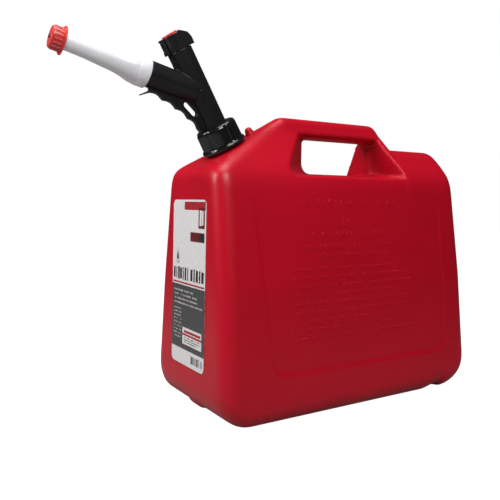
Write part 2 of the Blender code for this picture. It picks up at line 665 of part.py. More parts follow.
def make_cap(parts, red, dark_red, arm):
    rings = ((CAP_BORE, CAP_FOOT, 0), (CAP_FLANGE, CAP_FOOT, 0), (CAP_FLANGE, CAP_FOOT + 0.0020, 0),
             (CAP_RADIUS, CAP_FOOT + 0.0023, CAP_RIB_DEPTH), (CAP_RADIUS, CAP_END - 0.0014, CAP_RIB_DEPTH),
             (CAP_RADIUS - 0.0012, CAP_END, 0), (0.0028, CAP_END, 0), (0.0028, CAP_END - 0.0020, 0),
             (CAP_BORE, CAP_END - 0.0020, 0))
    lobed_ring("nozzle_cap", rings, CAP_RIBS, 2 * CAP_RIBS, (parts, red), arm)
    plug = ((0.0, 0.1831), (0.0018, 0.1829), (0.0024, 0.1823), (0.0024, 0.1790), (0.0085, 0.1790),
            (0.0085, 0.1776), (0.0, 0.1776))
    turned("cap_plug", plug, (parts, dark_red), arm, 24)


def make_frames(parts):
    neck = bpy.data.objects.new("neck_frame", None)
    parts.objects.link(neck)
    neck.location = NECK_FOOT
    neck.rotation_euler = (0.0, -NECK_TILT, 0.0)
    arm = bpy.data.objects.new("arm_frame", None)
    parts.objects.link(arm)
    arm.parent = neck
    arm.location = (0.0, 0.0, ARM_JOINT)
    arm.rotation_euler = (0.0, -ARM_ANGLE, 0.0)
    return neck, arm


def main():
    clear_scene()
    parts = make_collection("jerry_can")
    cutters = make_collection("cutters")
    red = make_material("red_plastic", (0.52, 0.008, 0.022), 0.38)
    bright_red = make_material("cap_red", (0.62, 0.035, 0.030), 0.40)
    dark_red = make_material("plug_red", (0.16, 0.006, 0.010), 0.45)
    black = make_material("black_plastic", (0.012, 0.012, 0.013), 0.38)
    white = make_material("nozzle_white", (0.80, 0.80, 0.82), 0.35)
    steel = make_material("spring_steel", (0.55, 0.55, 0.56), 0.30, 1.0)
    rubber = make_material("seal_rubber", (0.020, 0.020, 0.020), 0.70)
    paper = make_material("label_film", (0.75, 0.75, 0.75), 0.45)
    neck, arm = make_frames(parts)
    make_tank(parts, cutters, red, neck)
    make_label(parts, paper)
    make_nut(parts, cutters, black, neck)
    washer("neck_gasket", 0.0153, NECK_RADIUS, NECK_RIM + FIT, FLANGE_FOOT - FIT, (parts, rubber), neck)
    make_body(parts, cutters, black, neck, arm)
    make_head(parts, cutters, black, neck)
    make_lock(parts, cutters, black, neck)
    make_button(parts, cutters, bright_red, neck)
    make_spring(parts, steel, neck)
    make_valve(parts, steel, rubber, black, neck)
    make_arrester(parts, cutters, bright_red, neck)
    make_nozzle(parts, white, rubber, black, arm)
    make_cap(parts, bright_red, dark_red, arm)


main()
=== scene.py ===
# A red fuel can with a press-to-pour spout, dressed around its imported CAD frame.
import json
from math import acos, cos, pi, radians, sin, sqrt, tan

import bmesh
import bpy
from mathutils import Matrix, Vector


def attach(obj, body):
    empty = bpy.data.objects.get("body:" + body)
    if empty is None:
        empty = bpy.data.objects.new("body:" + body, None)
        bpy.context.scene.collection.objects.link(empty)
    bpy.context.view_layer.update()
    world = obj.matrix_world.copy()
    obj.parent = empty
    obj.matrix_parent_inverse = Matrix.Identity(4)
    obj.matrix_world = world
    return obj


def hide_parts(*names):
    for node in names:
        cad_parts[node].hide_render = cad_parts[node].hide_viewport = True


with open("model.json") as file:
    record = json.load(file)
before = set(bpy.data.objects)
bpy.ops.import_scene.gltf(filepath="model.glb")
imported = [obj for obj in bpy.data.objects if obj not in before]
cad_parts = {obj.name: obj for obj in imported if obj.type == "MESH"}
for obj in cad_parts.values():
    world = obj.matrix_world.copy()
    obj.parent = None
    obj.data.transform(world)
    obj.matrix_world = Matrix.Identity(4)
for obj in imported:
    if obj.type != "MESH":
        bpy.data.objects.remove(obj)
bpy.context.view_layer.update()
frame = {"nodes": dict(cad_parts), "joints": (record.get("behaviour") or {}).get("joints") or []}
print("frame loaded:", len(frame["nodes"]), "nodes")

joints = {joint["name"]: joint for joint in frame["joints"]}
here = Matrix.Identity(4)


def alignedFrame(origin, up):
    # a frame whose Z is up and whose X lies in the can's mirror plane, towards the rear
    up = Vector(up).normalized()
    across = Vector((0, 1, 0))
    back = across.cross(up)
    turn = Matrix((back, across, up)).transposed().to_4x4()
    return Matrix.Translation(origin) @ turn


neckAxis = Vector(joints["nut_turn"]["axis"])
armAxis = Vector(joints["cap_pull"]["axis"])
armJoint = 0.0709                                   # height of the arm's root up the stem
neckFrame = alignedFrame(Vector(joints["nut_turn"]["pos_m"]), neckAxis)
armFrame = alignedFrame(neckFrame @ Vector((0, 0, armJoint)), armAxis)


def wire(tree, *links):
    # joins sockets: source node, its output, target node, its input
    for source, output, target, socket in links:
        tree.links.new(source.outputs[output], target.inputs[socket])


def addNode(tree, kind, **values):
    node = tree.nodes.new(kind)
    for key, value in values.items():
        if key[0].isupper() or key.isdigit():
            node.inputs[int(key) if key.isdigit() else key.replace("_", " ")].default_value = value
        else:
            setattr(node, key, value)
    return node


def newGroup(name, kind, inputs, outputs):
    tree = bpy.data.node_groups.new(name, kind)
    for label, socketType, default in inputs:
        socket = tree.interface.new_socket(label, in_out="INPUT", socket_type=socketType)
        if default is not None:
            socket.default_value = default
    for label, socketType in outputs:
        tree.interface.new_socket(label, in_out="OUTPUT", socket_type=socketType)
    return tree, tree.nodes.new("NodeGroupInput"), tree.nodes.new("NodeGroupOutput")


def mouldedGrainGroup():
    # fine moulded texture, plus a slow drift of tone across the plastic
    tree, given, made = newGroup("mouldedGrain", "ShaderNodeTree",
                                 [("Scale", "NodeSocketFloat", 900), ("Depth", "NodeSocketFloat", 0.0001),
                                  ("Drift", "NodeSocketFloat", 9), ("Strength", "NodeSocketFloat", 0.3)],
                                 [("Tone", "NodeSocketFloat"), ("Grain", "NodeSocketFloat"),
                                  ("Normal", "NodeSocketVector")])
    spot = tree.nodes.new("ShaderNodeTexCoord")
    fine = addNode(tree, "ShaderNodeTexNoise", Detail=3, Roughness=0.6)
    slow = addNode(tree, "ShaderNodeTexNoise", Detail=2, Roughness=0.5)
    wave = addNode(tree, "ShaderNodeTexNoise", Detail=1, Roughness=0.4)
    spread = addNode(tree, "ShaderNodeMath", operation="MULTIPLY")
    spread.inputs[1].default_value = 4.5
    height = addNode(tree, "ShaderNodeMath", operation="MULTIPLY_ADD")
    height.inputs[1].default_value = 3.0
    bump = tree.nodes.new("ShaderNodeBump")
    for texture in (fine, slow, wave):
        wire(tree, (spot, "Object", texture, "Vector"))
    wire(tree, (given, "Scale", fine, "Scale"), (given, "Drift", slow, "Scale"),
         (given, "Drift", spread, 0), (spread, 0, wave, "Scale"), (wave, "Fac", height, 0),
         (fine, "Fac", height, 2), (height, 0, bump, "Height"), (given, "Depth", bump, "Distance"),
         (given, "Strength", bump, "Strength"), (slow, "Fac", made, "Tone"),
         (fine, "Fac", made, "Grain"), (bump, "Normal", made, "Normal"))
    return tree


def handlingScuffsGroup():
    # sparse fine scratches, broken up so that they gather in patches
    tree, given, made = newGroup("handlingScuffs", "ShaderNodeTree",
                                 [("Scale", "NodeSocketFloat", 60), ("Amount", "NodeSocketFloat", 0.5)],
                                 [("Mask", "NodeSocketFloat")])
    spot = tree.nodes.new("ShaderNodeTexCoord")
    turn = tree.nodes.new("ShaderNodeMapping")
    turn.inputs["Rotation"].default_value = (0.5, 0.9, 0.3)
    turn.inputs["Scale"].default_value = (1, 7, 22)
    lines = addNode(tree, "ShaderNodeTexNoise", Detail=4, Roughness=0.7)
    patch = addNode(tree, "ShaderNodeTexNoise", Scale=14, Detail=2)
    cut = addNode(tree, "ShaderNodeMapRange", From_Min=0.63, From_Max=0.74)
    gate = addNode(tree, "ShaderNodeMapRange", From_Min=0.48, From_Max=0.66)
    both = addNode(tree, "ShaderNodeMath", operation="MULTIPLY")
    scaled = addNode(tree, "ShaderNodeMath", operation="MULTIPLY")
    wire(tree, (spot, "Object", turn, "Vector"), (turn, "Vector", lines, "Vector"),
         (given, "Scale", lines, "Scale"), (spot, "Object", patch, "Vector"),
         (lines, "Fac", cut, "Value"), (patch, "Fac", gate, "Value"), (cut, "Result", both, 0),
         (gate, "Result", both, 1), (both, 0, scaled, 0), (given, "Amount", scaled, 1),
         (scaled, 0, made, "Mask"))
    return tree


def edgeWearGroup():
    # convex edges rubbed a little paler
    tree, given, made = newGroup("edgeWear", "ShaderNodeTree",
                                 [("Start", "NodeSocketFloat", 0.53), ("End", "NodeSocketFloat", 0.62),
                                  ("Amount", "NodeSocketFloat", 0.4)],
                                 [("Mask", "NodeSocketFloat")])
    shape = tree.nodes.new("ShaderNodeNewGeometry")
    spot = tree.nodes.new("ShaderNodeTexCoord")
    patch = addNode(tree, "ShaderNodeTexNoise", Scale=160, Detail=4, Roughness=0.7)
    edge = tree.nodes.new("ShaderNodeMapRange")
    both = addNode(tree, "ShaderNodeMath", operation="MULTIPLY")
    scaled = addNode(tree, "ShaderNodeMath", operation="MULTIPLY")
    wire(tree, (spot, "Object", patch, "Vector"), (shape, "Pointiness", edge, "Value"),
         (given, "Start", edge, "From Min"), (given, "End", edge, "From Max"),
         (edge, "Result", both, 0), (patch, "Fac", both, 1), (both, 0, scaled, 0),
         (given, "Amount", scaled, 1), (scaled, 0, made, "Mask"))
    return tree


grainGroup = mouldedGrainGroup()
scuffGroup = handlingScuffsGroup()
wearGroup = edgeWearGroup()

plasticLooks = {
    "tankPlastic": dict(dark=(0.36, 0.0015, 0.010), light=(0.50, 0.003, 0.017), worn=(0.70, 0.10, 0.12),
                        rough=0.36, scuff=0.25, wear=0.10, grain=1500, depth=0.00006, drift=7, strength=0.35,
                        gloss=0.26),
    "embossedPlastic": dict(dark=(0.36, 0.0015, 0.010), light=(0.50, 0.003, 0.017), worn=(0.50, 0.003, 0.017),
                            rough=0.42, scuff=0.1, wear=0.0, grain=1500, depth=0.00006, drift=7,
                            strength=0.35, gloss=0.20),
    "blackPlastic": dict(dark=(0.006, 0.006, 0.007), light=(0.013, 0.013, 0.014), worn=(0.10, 0.10, 0.10),
                         rough=0.34, scuff=0.30, wear=0.25, grain=2600, depth=0.00005, drift=40, strength=0.4,
                         gloss=0.22),
    "nutPlastic": dict(dark=(0.004, 0.004, 0.005), light=(0.009, 0.009, 0.010), worn=(0.12, 0.12, 0.12),
                       rough=0.13, scuff=0.35, wear=0.3, grain=2200, depth=0.00003, drift=45, strength=0.3,
                       gloss=0.45),
    "capRed": dict(dark=(0.50, 0.018, 0.015), light=(0.66, 0.034, 0.028), worn=(0.80, 0.30, 0.26),
                   rough=0.30, scuff=0.25, wear=0.5, grain=3000, depth=0.00003, drift=60, strength=0.3),
    "buttonRed": dict(dark=(0.55, 0.030, 0.028), light=(0.68, 0.055, 0.050), worn=(0.80, 0.35, 0.32),
                      rough=0.36, scuff=0.30, wear=0.4, grain=3400, depth=0.00004, drift=60, strength=0.4),
    "plugRed": dict(dark=(0.10, 0.002, 0.004), light=(0.16, 0.004, 0.007), worn=(0.30, 0.05, 0.05),
                    rough=0.48, scuff=0.1, wear=0.2, grain=2500, depth=0.00003, drift=50, strength=0.3),
    "sealRubber": dict(dark=(0.010, 0.010, 0.010), light=(0.022, 0.022, 0.022), worn=(0.08, 0.08, 0.08),
                       rough=0.62, scuff=0.1, wear=0.3, grain=4200, depth=0.00005, drift=60, strength=0.5),
}


def plasticMaterial(name, look):
    material = bpy.data.materials.new(name)
    material.use_nodes = True
    tree = material.node_tree
    shader = tree.nodes["Principled BSDF"]
    grain = addNode(tree, "ShaderNodeGroup", node_tree=grainGroup)
    grain.inputs["Scale"].default_value = look["grain"]
    grain.inputs["Depth"].default_value = look["depth"]
    grain.inputs["Drift"].default_value = look["drift"]
    grain.inputs["Strength"].default_value = look["strength"]
    scuffs = addNode(tree, "ShaderNodeGroup", node_tree=scuffGroup)
    scuffs.inputs["Amount"].default_value = look["scuff"]
    wear = addNode(tree, "ShaderNodeGroup", node_tree=wearGroup)
    wear.inputs["Amount"].default_value = look["wear"]
    body = addNode(tree, "ShaderNodeMix", data_type="RGBA")
    body.inputs[6].default_value = (*look["dark"], 1)
    body.inputs[7].default_value = (*look["light"], 1)
    wire(tree, (grain, "Tone", body, 0))
    edges = addNode(tree, "ShaderNodeMix", data_type="RGBA")
    edges.inputs[7].default_value = (*look["worn"], 1)
    wire(tree, (wear, "Mask", edges, 0), (body, 2, edges, 6), (edges, 2, shader, "Base Color"))
    rough = addNode(tree, "ShaderNodeMath", operation="MULTIPLY_ADD")
    rough.inputs[1].default_value = 0.12
    rough.inputs[2].default_value = look["rough"] - 0.06
    dull = addNode(tree, "ShaderNodeMath", operation="MULTIPLY_ADD", use_clamp=True)
    dull.inputs[1].default_value = 0.35
    wire(tree, (grain, "Grain", rough, 0), (scuffs, "Mask", dull, 0), (rough, 0, dull, 2),
         (dull, 0, shader, "Roughness"), (grain, "Normal", shader, "Normal"))
    shader.inputs["Specular IOR Level"].default_value = look.get("gloss", 0.5)
    return material


def nozzleMaterial():
    # milky polyethylene, clearer where it is thin
    material = plasticMaterial("nozzlePlastic", dict(dark=(0.74, 0.76, 0.80), light=(0.84, 0.85, 0.88),
                                                     worn=(0.92, 0.92, 0.94), rough=0.30, scuff=0.2, wear=0.2,
                                                     grain=1800, depth=0.00004, drift=30, strength=0.3))
    shader = material.node_tree.nodes["Principled BSDF"]
    shader.inputs["Subsurface Weight"].default_value = 0.35
    shader.inputs["Subsurface Radius"].default_value = (0.9, 0.95, 1.0)
    shader.inputs["Subsurface Scale"].default_value = 0.006
    return material


def steelMaterial():
    material = plasticMaterial("springSteel", dict(dark=(0.42, 0.42, 0.43), light=(0.60, 0.60, 0.61),
                                                   worn=(0.75, 0.75, 0.75), rough=0.30, scuff=0.4, wear=0.3,
                                                   grain=3000, depth=0.00002, drift=80, strength=0.2))
    material.node_tree.nodes["Principled BSDF"].inputs["Metallic"].default_value = 1.0
    return material


def inkMaterial(name, color, rough=0.42):
    # printed film: a slight mottle of the ink and a soft orange-peel gloss
    spread = [channel * 0.82 for channel in color]
    return plasticMaterial(name, dict(dark=spread, light=color, worn=color, rough=rough, scuff=0.15, wear=0.0,
                                      grain=1400, depth=0.00002, drift=220, strength=0.25))


materials = {name: plasticMaterial(name, look) for name, look in plasticLooks.items()}
materials["nozzlePlastic"] = nozzleMaterial()
materials["springSteel"] = steelMaterial()
materials["labelFilm"] = inkMaterial("labelFilm", (0.70, 0.68, 0.68))
materials["inkGrey"] = inkMaterial("inkGrey", (0.055, 0.052, 0.055))
materials["inkBlack"] = inkMaterial("inkBlack", (0.018, 0.016, 0.018))
materials["inkRed"] = inkMaterial("inkRed", (0.36, 0.014, 0.022))
materials["inkDeepRed"] = inkMaterial("inkDeepRed", (0.13, 0.008, 0.012))
materials["inkPale"] = inkMaterial("inkPale", (0.42, 0.40, 0.41))
print("materials ready:", len(materials))


def linkMesh(name, mesh):
    item = bpy.data.objects.new(name, mesh)
    bpy.context.scene.collection.objects.link(item)
    return item


def meshFrom(name, bm, place=here):
    bmesh.ops.recalc_face_normals(bm, faces=bm.faces[:])
    if bm.calc_volume(signed=True) < 0:
        bmesh.ops.reverse_faces(bm, faces=bm.faces[:])
    mesh = bpy.data.meshes.new(name)
    bm.to_mesh(mesh)
    bm.free()
    mesh.transform(place)
    return linkMesh(name, mesh)


def applyAll(item):
    # the evaluated shape becomes the object's own mesh
    graph = bpy.context.evaluated_depsgraph_get()
    mesh = bpy.data.meshes.new_from_object(item.evaluated_get(graph))
    item.modifiers.clear()
    item.data = mesh
    return item


def combine(item, other, operation):
    cut = item.modifiers.new(operation, "BOOLEAN")
    cut.operation = operation
    cut.object = other
    applyAll(item)
    bpy.data.objects.remove(other, do_unlink=True)
    return item


def soften(item, voxel, passes):
    # melts joined solids into one moulded skin with rounded edges
    remesh = item.modifiers.new("skin", "REMESH")
    remesh.mode = "VOXEL"
    remesh.voxel_size = voxel
    smooth = item.modifiers.new("smooth", "SMOOTH")
    smooth.factor = 0.5
    smooth.iterations = passes
    return applyAll(item)


def finishPiece(item, body, material, nodes=(), sharp=40):
    item.data.materials.clear()
    item.data.materials.append(materials[material])
    item.data.shade_smooth()
    if sharp:
        item.data.set_sharp_from_angle(angle=radians(sharp))
    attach(item, body)
    if nodes:
        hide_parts(*nodes)
    return item


def loftRings(bm, rings, closed=False):
    rows = [[bm.verts.new(point) for point in ring] for ring in rings]
    pairs = list(zip(rows, rows[1:])) + ([(rows[-1], rows[0])] if closed else [])
    for low, high in pairs:
        for index in range(len(low)):
            after = (index + 1) % len(low)
            bm.faces.new((low[index], low[after], high[after], high[index]))
    if not closed:
        bm.faces.new(rows[0])
        bm.faces.new(rows[-1])


def turnedPiece(name, profile, place, steps=64, closed=True, shape=None):
    # profile is (radius, height); shape(angle, height, radius) may change the radius round the axis
    bm = bmesh.new()
    rings = []
    for radius, height in profile:
        ring = []
        for index in range(steps):
            angle = 2 * pi * index / steps
            reach = shape(angle, height, radius) if shape else radius
            ring.append((reach * cos(angle), reach * sin(angle), height))
        rings.append(ring)
    loftRings(bm, rings, closed)
    return meshFrom(name, bm, place)


def roundedCorners(corners, steps=6, cyclic=True):
    # corners are (across, up, radius); an open chain drops its first and last corner
    count = len(corners)
    points = []
    for index in range(count) if cyclic else range(1, count - 1):
        corner = Vector(corners[index][:2])
        toBefore = (Vector(corners[index - 1][:2]) - corner).normalized()
        toAfter = (Vector(corners[(index + 1) % count][:2]) - corner).normalized()
        radius = corners[index][2]
        if radius == 0:
            points.append(corner)
            continue
        halfAngle = toBefore.angle(toAfter) / 2
        reach = radius / tan(halfAngle)
        middle = corner + (toBefore + toAfter).normalized() * radius / sin(halfAngle)
        start = corner + toBefore * reach - middle
        end = corner + toAfter * reach - middle
        for step in range(steps + 1):
            points.append(middle + start.slerp(end, step / steps).normalized() * radius)
    return points


def slab(name, outline, thickness, place, plane="side"):
    # an outline given a thickness. side: (front, up) in the mirror plane; plan: (x, y); face: (y, z)
    half = thickness / 2
    bm = bmesh.new()
    rings = []
    for level in (-half, half):
        if plane == "side":
            rings.append([(-across, level, up) for across, up in outline])
        elif plane == "plan":
            rings.append([(across, up, level) for across, up in outline])
        else:
            rings.append([(level, across, up) for across, up in outline])
    loftRings(bm, rings)
    return meshFrom(name, bm, place)


def bevelled(item, width, segments=3, angle=30):
    bevel = item.modifiers.new("bevel", "BEVEL")
    bevel.width = width
    bevel.segments = segments
    bevel.limit_method = "ANGLE"
    bevel.angle_limit = radians(angle)
    return applyAll(item)


def ridge(name, thread, rootRadius, crestRadius, start, place):
    # a screw thread's ridge: a trapezoid wound up the axis
    bm = bmesh.new()
    profile = ((rootRadius, -thread["rootHalf"]), (crestRadius, -thread["crestHalf"]),
               (crestRadius, thread["crestHalf"]), (rootRadius, thread["rootHalf"]))
    corners = [bm.verts.new((radius, 0.0, start + height)) for radius, height in profile]
    face = bm.faces.new(corners)
    steps = int(thread["steps"] * thread["turns"])
    bmesh.ops.spin(bm, geom=[face, *face.edges, *corners], cent=(0, 0, 0), axis=(0, 0, 1),
                   angle=2 * pi * thread["turns"], dvec=(0, 0, thread["lead"] / thread["steps"]), steps=steps)
    return meshFrom(name, bm, place)


def barRowTree():
    # a row of upright bars of random width and height, with gaps: print and embossing that spell nothing
    tree, given, made = newGroup("barRow", "GeometryNodeTree",
                                 [("Geometry", "NodeSocketGeometry", None), ("Count", "NodeSocketInt", 10),
                                  ("Pitch", "NodeSocketFloat", 0.004), ("Height", "NodeSocketFloat", 0.006),
                                  ("Depth", "NodeSocketFloat", 0.0006), ("Narrowest", "NodeSocketFloat", 0.3),
                                  ("Widest", "NodeSocketFloat", 0.85), ("Shortest", "NodeSocketFloat", 0.7),
                                  ("Fill", "NodeSocketFloat", 0.85), ("Seed", "NodeSocketInt", 1),
                                  ("Material", "NodeSocketMaterial", None)],
                                 [("Geometry", "NodeSocketGeometry")])
    tree.is_modifier = True
    step = tree.nodes.new("ShaderNodeCombineXYZ")
    line = tree.nodes.new("GeometryNodeMeshLine")
    size = tree.nodes.new("ShaderNodeCombineXYZ")
    bar = tree.nodes.new("GeometryNodeMeshCube")
    low = tree.nodes.new("ShaderNodeCombineXYZ")
    low.inputs["Y"].default_value = 1
    high = tree.nodes.new("ShaderNodeCombineXYZ")
    high.inputs["Y"].default_value = 1
    high.inputs["Z"].default_value = 1
    stretch = addNode(tree, "FunctionNodeRandomValue", data_type="FLOAT_VECTOR")
    keep = addNode(tree, "FunctionNodeRandomValue", data_type="BOOLEAN")
    place = tree.nodes.new("GeometryNodeInstanceOnPoints")
    real = tree.nodes.new("GeometryNodeRealizeInstances")
    paint = tree.nodes.new("GeometryNodeSetMaterial")
    wire(tree, (given, "Pitch", step, "X"), (given, "Count", line, "Count"),
         (step, 0, line, "Offset"), (given, "Pitch", size, "X"), (given, "Depth", size, "Y"),
         (given, "Height", size, "Z"), (size, 0, bar, "Size"), (given, "Narrowest", low, "X"),
         (given, "Shortest", low, "Z"), (given, "Widest", high, "X"), (low, 0, stretch, 0),
         (high, 0, stretch, 1), (given, "Seed", stretch, "Seed"),
         (given, "Fill", keep, "Probability"), (given, "Seed", keep, "Seed"),
         (line, "Mesh", place, "Points"), (bar, "Mesh", place, "Instance"),
         (stretch, 0, place, "Scale"), (keep, 3, place, "Selection"),
         (place, "Instances", real, "Geometry"), (real, "Geometry", paint, "Geometry"),
         (given, "Material", paint, "Material"), (paint, "Geometry", made, "Geometry"))
    return tree


def ribRingTree():
    # equal ribs standing round a drum
    tree, given, made = newGroup("ribRing", "GeometryNodeTree",
                                 [("Geometry", "NodeSocketGeometry", None), ("Count", "NodeSocketInt", 24),
                                  ("Radius", "NodeSocketFloat", 0.01), ("Width", "NodeSocketFloat", 0.001),
                                  ("Depth", "NodeSocketFloat", 0.001), ("Length", "NodeSocketFloat", 0.01),
                                  ("Material", "NodeSocketMaterial", None)],
                                 [("Geometry", "NodeSocketGeometry")])
    tree.is_modifier = True
    ring = addNode(tree, "GeometryNodeMeshCircle", fill_type="NONE")
    size = tree.nodes.new("ShaderNodeCombineXYZ")
    rib = tree.nodes.new("GeometryNodeMeshCylinder")
    rib.inputs["Vertices"].default_value = 8
    rib.inputs["Radius"].default_value = 0.5
    rib.inputs["Depth"].default_value = 1.0
    number = tree.nodes.new("GeometryNodeInputIndex")
    share = addNode(tree, "ShaderNodeMath", operation="DIVIDE")
    share.inputs[0].default_value = 2 * pi
    angle = addNode(tree, "ShaderNodeMath", operation="MULTIPLY")
    turn = tree.nodes.new("ShaderNodeCombineXYZ")
    place = tree.nodes.new("GeometryNodeInstanceOnPoints")
    real = tree.nodes.new("GeometryNodeRealizeInstances")
    paint = tree.nodes.new("GeometryNodeSetMaterial")
    wire(tree, (given, "Count", ring, "Vertices"), (given, "Radius", ring, "Radius"),
         (given, "Depth", size, "X"), (given, "Width", size, "Y"), (given, "Length", size, "Z"),
         (given, "Count", share, 1), (number, 0, angle, 0), (share, 0, angle, 1),
         (angle, 0, turn, "Z"), (ring, "Mesh", place, "Points"), (rib, "Mesh", place, "Instance"),
         (turn, 0, place, "Rotation"), (size, 0, place, "Scale"),
         (place, "Instances", real, "Geometry"), (real, "Geometry", paint, "Geometry"),
         (given, "Material", paint, "Material"), (paint, "Geometry", made, "Geometry"))
    return tree


def springTree():
    # wire swept along a spiral
    tree, given, made = newGroup("springCoil", "GeometryNodeTree",
                                 [("Geometry", "NodeSocketGeometry", None), ("Turns", "NodeSocketFloat", 6),
                                  ("Radius", "NodeSocketFloat", 0.008), ("Height", "NodeSocketFloat", 0.02),
                                  ("Wire", "NodeSocketFloat", 0.0008),
                                  ("Material", "NodeSocketMaterial", None)],
                                 [("Geometry", "NodeSocketGeometry")])
    tree.is_modifier = True
    spiral = tree.nodes.new("GeometryNodeCurveSpiral")
    spiral.inputs["Resolution"].default_value = 28
    section = tree.nodes.new("GeometryNodeCurvePrimitiveCircle")
    section.inputs["Resolution"].default_value = 10
    sweep = tree.nodes.new("GeometryNodeCurveToMesh")
    sweep.inputs["Fill Caps"].default_value = True
    real = tree.nodes.new("GeometryNodeRealizeInstances")
    paint = tree.nodes.new("GeometryNodeSetMaterial")
    wire(tree, (given, "Turns", spiral, "Rotations"), (given, "Radius", spiral, "Start Radius"),
         (given, "Radius", spiral, "End Radius"), (given, "Height", spiral, "Height"),
         (given, "Wire", section, "Radius"), (spiral, "Curve", sweep, "Curve"),
         (section, "Curve", sweep, "Profile Curve"), (sweep, "Mesh", real, "Geometry"),
         (real, "Geometry", paint, "Geometry"), (given, "Material", paint, "Material"),
         (paint, "Geometry", made, "Geometry"))
    return tree


def grow(name, tree, material, place=here, **values):
    # runs a geometry node tree and keeps the result as a plain mesh
    item = linkMesh(name, bpy.data.meshes.new(name))
    grower = item.modifiers.new("grow", "NODES")
    grower.node_group = tree
    sockets = {socket.name: socket.identifier for socket in tree.interface.items_tree
               if socket.in_out == "INPUT"}
    for label, value in values.items():
        grower[sockets[label]] = value
    grower[sockets["Material"]] = materials[material]
    applyAll(item)
    item.data.transform(place)
    return item


def joinMeshes(name, items):
    # one mesh from several, keeping their materials
    bm = bmesh.new()
    used = []
    for item in items:
        start = len(bm.faces)
        bm.from_mesh(item.data)
        bm.faces.ensure_lookup_table()
        slots = [material for material in item.data.materials]
        for face in bm.faces[start:]:
            material = slots[face.material_index] if slots else None
            if material not in used:
                used.append(material)
            face.material_index = used.index(material)
        bpy.data.objects.remove(item, do_unlink=True)
    mesh = bpy.data.meshes.new(name)
    bm.to_mesh(mesh)
    bm.free()
    for material in used:
        mesh.materials.append(material)
    return linkMesh(name, mesh)


barRow = barRowTree()
ribRing = ribRingTree()
springCoil = springTree()
print("node trees ready")


tankShape = dict(
    halfLength=0.202, taper=0.0125, taperHeight=0.150, taperPower=6,
    widths=((-0.05, 0.109), (0.0, 0.104), (0.162, 0.088), (0.285, 0.0705), (0.2985, 0.0662), (0.310, 0.0572),
            (0.328, 0.0417), (0.3545, 0.0192), (0.362, 0.0168), (0.390, 0.0145)),
    widthBlur=0.006, uprightRadius=0.021, sideBottom=0.023, sideTop=0.012,
    frontBottom=0.038, rearBottom=0.050, handleTop=0.3735, shoulderTop=0.339, shoulderEdge=0.300,
    slopeDrop=0.0036, notch=0.005, voxel=0.0022, passes=7,
)
gapShape = dict(
    corner=0.014,                                   # sections: distance from the mirror plane, then the
    sections=(                                      # top, front, floor, rear end of the floor and of the top
        (0.0, 0.3472, -0.0313, 0.3013, 0.0890, 0.0890), (0.008, 0.3474, -0.0397, 0.3007, 0.0905, 0.0885),
        (0.016, 0.3495, -0.0481, 0.3000, 0.0920, 0.0865), (0.022, 0.3545, -0.0544, 0.2995, 0.0932, 0.0858),
        (0.030, 0.3640, -0.0628, 0.2988, 0.0950, 0.0850), (0.045, 0.3800, -0.0786, 0.2976, 0.0980, 0.0865),
        (0.0655, 0.4000, -0.1000, 0.2960, 0.1020, 0.0875), (0.090, 0.4300, -0.1258, 0.2940, 0.1070, 0.0885),
    ),
)
panelShape = dict(low=0.056, high=0.277, frontLow=-0.139, frontHigh=-0.157, rear=0.158, corner=0.020,
                  depth=0.0014, ramp=0.0036)


def readChain(chain, x):
    for (xLow, zLow), (xHigh, zHigh) in zip(chain, chain[1:]):
        if xLow <= x <= xHigh and xHigh > xLow:
            return zLow + (zHigh - zLow) * (x - xLow) / (xHigh - xLow)
    return chain[0][1] if x < chain[0][0] else chain[-1][1]


def halfWidth(height):
    # the leaning walls' half width, blurred a little so that the fold is soft
    blur = tankShape["widthBlur"]
    samples = [readChain(tankShape["widths"], height + blur * step / 3) for step in range(-3, 4)]
    return sum(samples) / len(samples)


def slopeHeight(x):
    tilt = acos(neckAxis.z)
    foot = neckFrame @ Vector((0, 0, -tankShape["slopeDrop"]))
    return foot.z + (x - foot.x) * tan(tilt)


def roundOff(depth, radius):
    return 0.0 if depth >= radius else radius - sqrt(max(0.0, radius ** 2 - (radius - depth) ** 2))


def leanOut(x, height):
    shape = tankShape
    end = (abs(x) / shape["halfLength"]) ** shape["taperPower"]
    return x * (1 + shape["taper"] * (1 - height / shape["taperHeight"]) * end)


def tankSection(x, low, high, drawIn):
    shape = tankShape
    start = low + shape["sideBottom"]
    end = high - shape["sideTop"]
    levels = [low + shape["sideBottom"] * (1 - cos(step * pi / 16)) for step in range(8)]
    levels += [start + (end - start) * step / 44 for step in range(45)]
    levels += [end + shape["sideTop"] * sin(step * pi / 12) for step in range(1, 7)]
    right = []
    for height in levels:
        width = halfWidth(height) - drawIn
        width -= roundOff(height - low, shape["sideBottom"]) + roundOff(high - height, shape["sideTop"])
        right.append((leanOut(x, height), width, height))
    return right + [(place, -width, height) for place, width, height in reversed(right)]


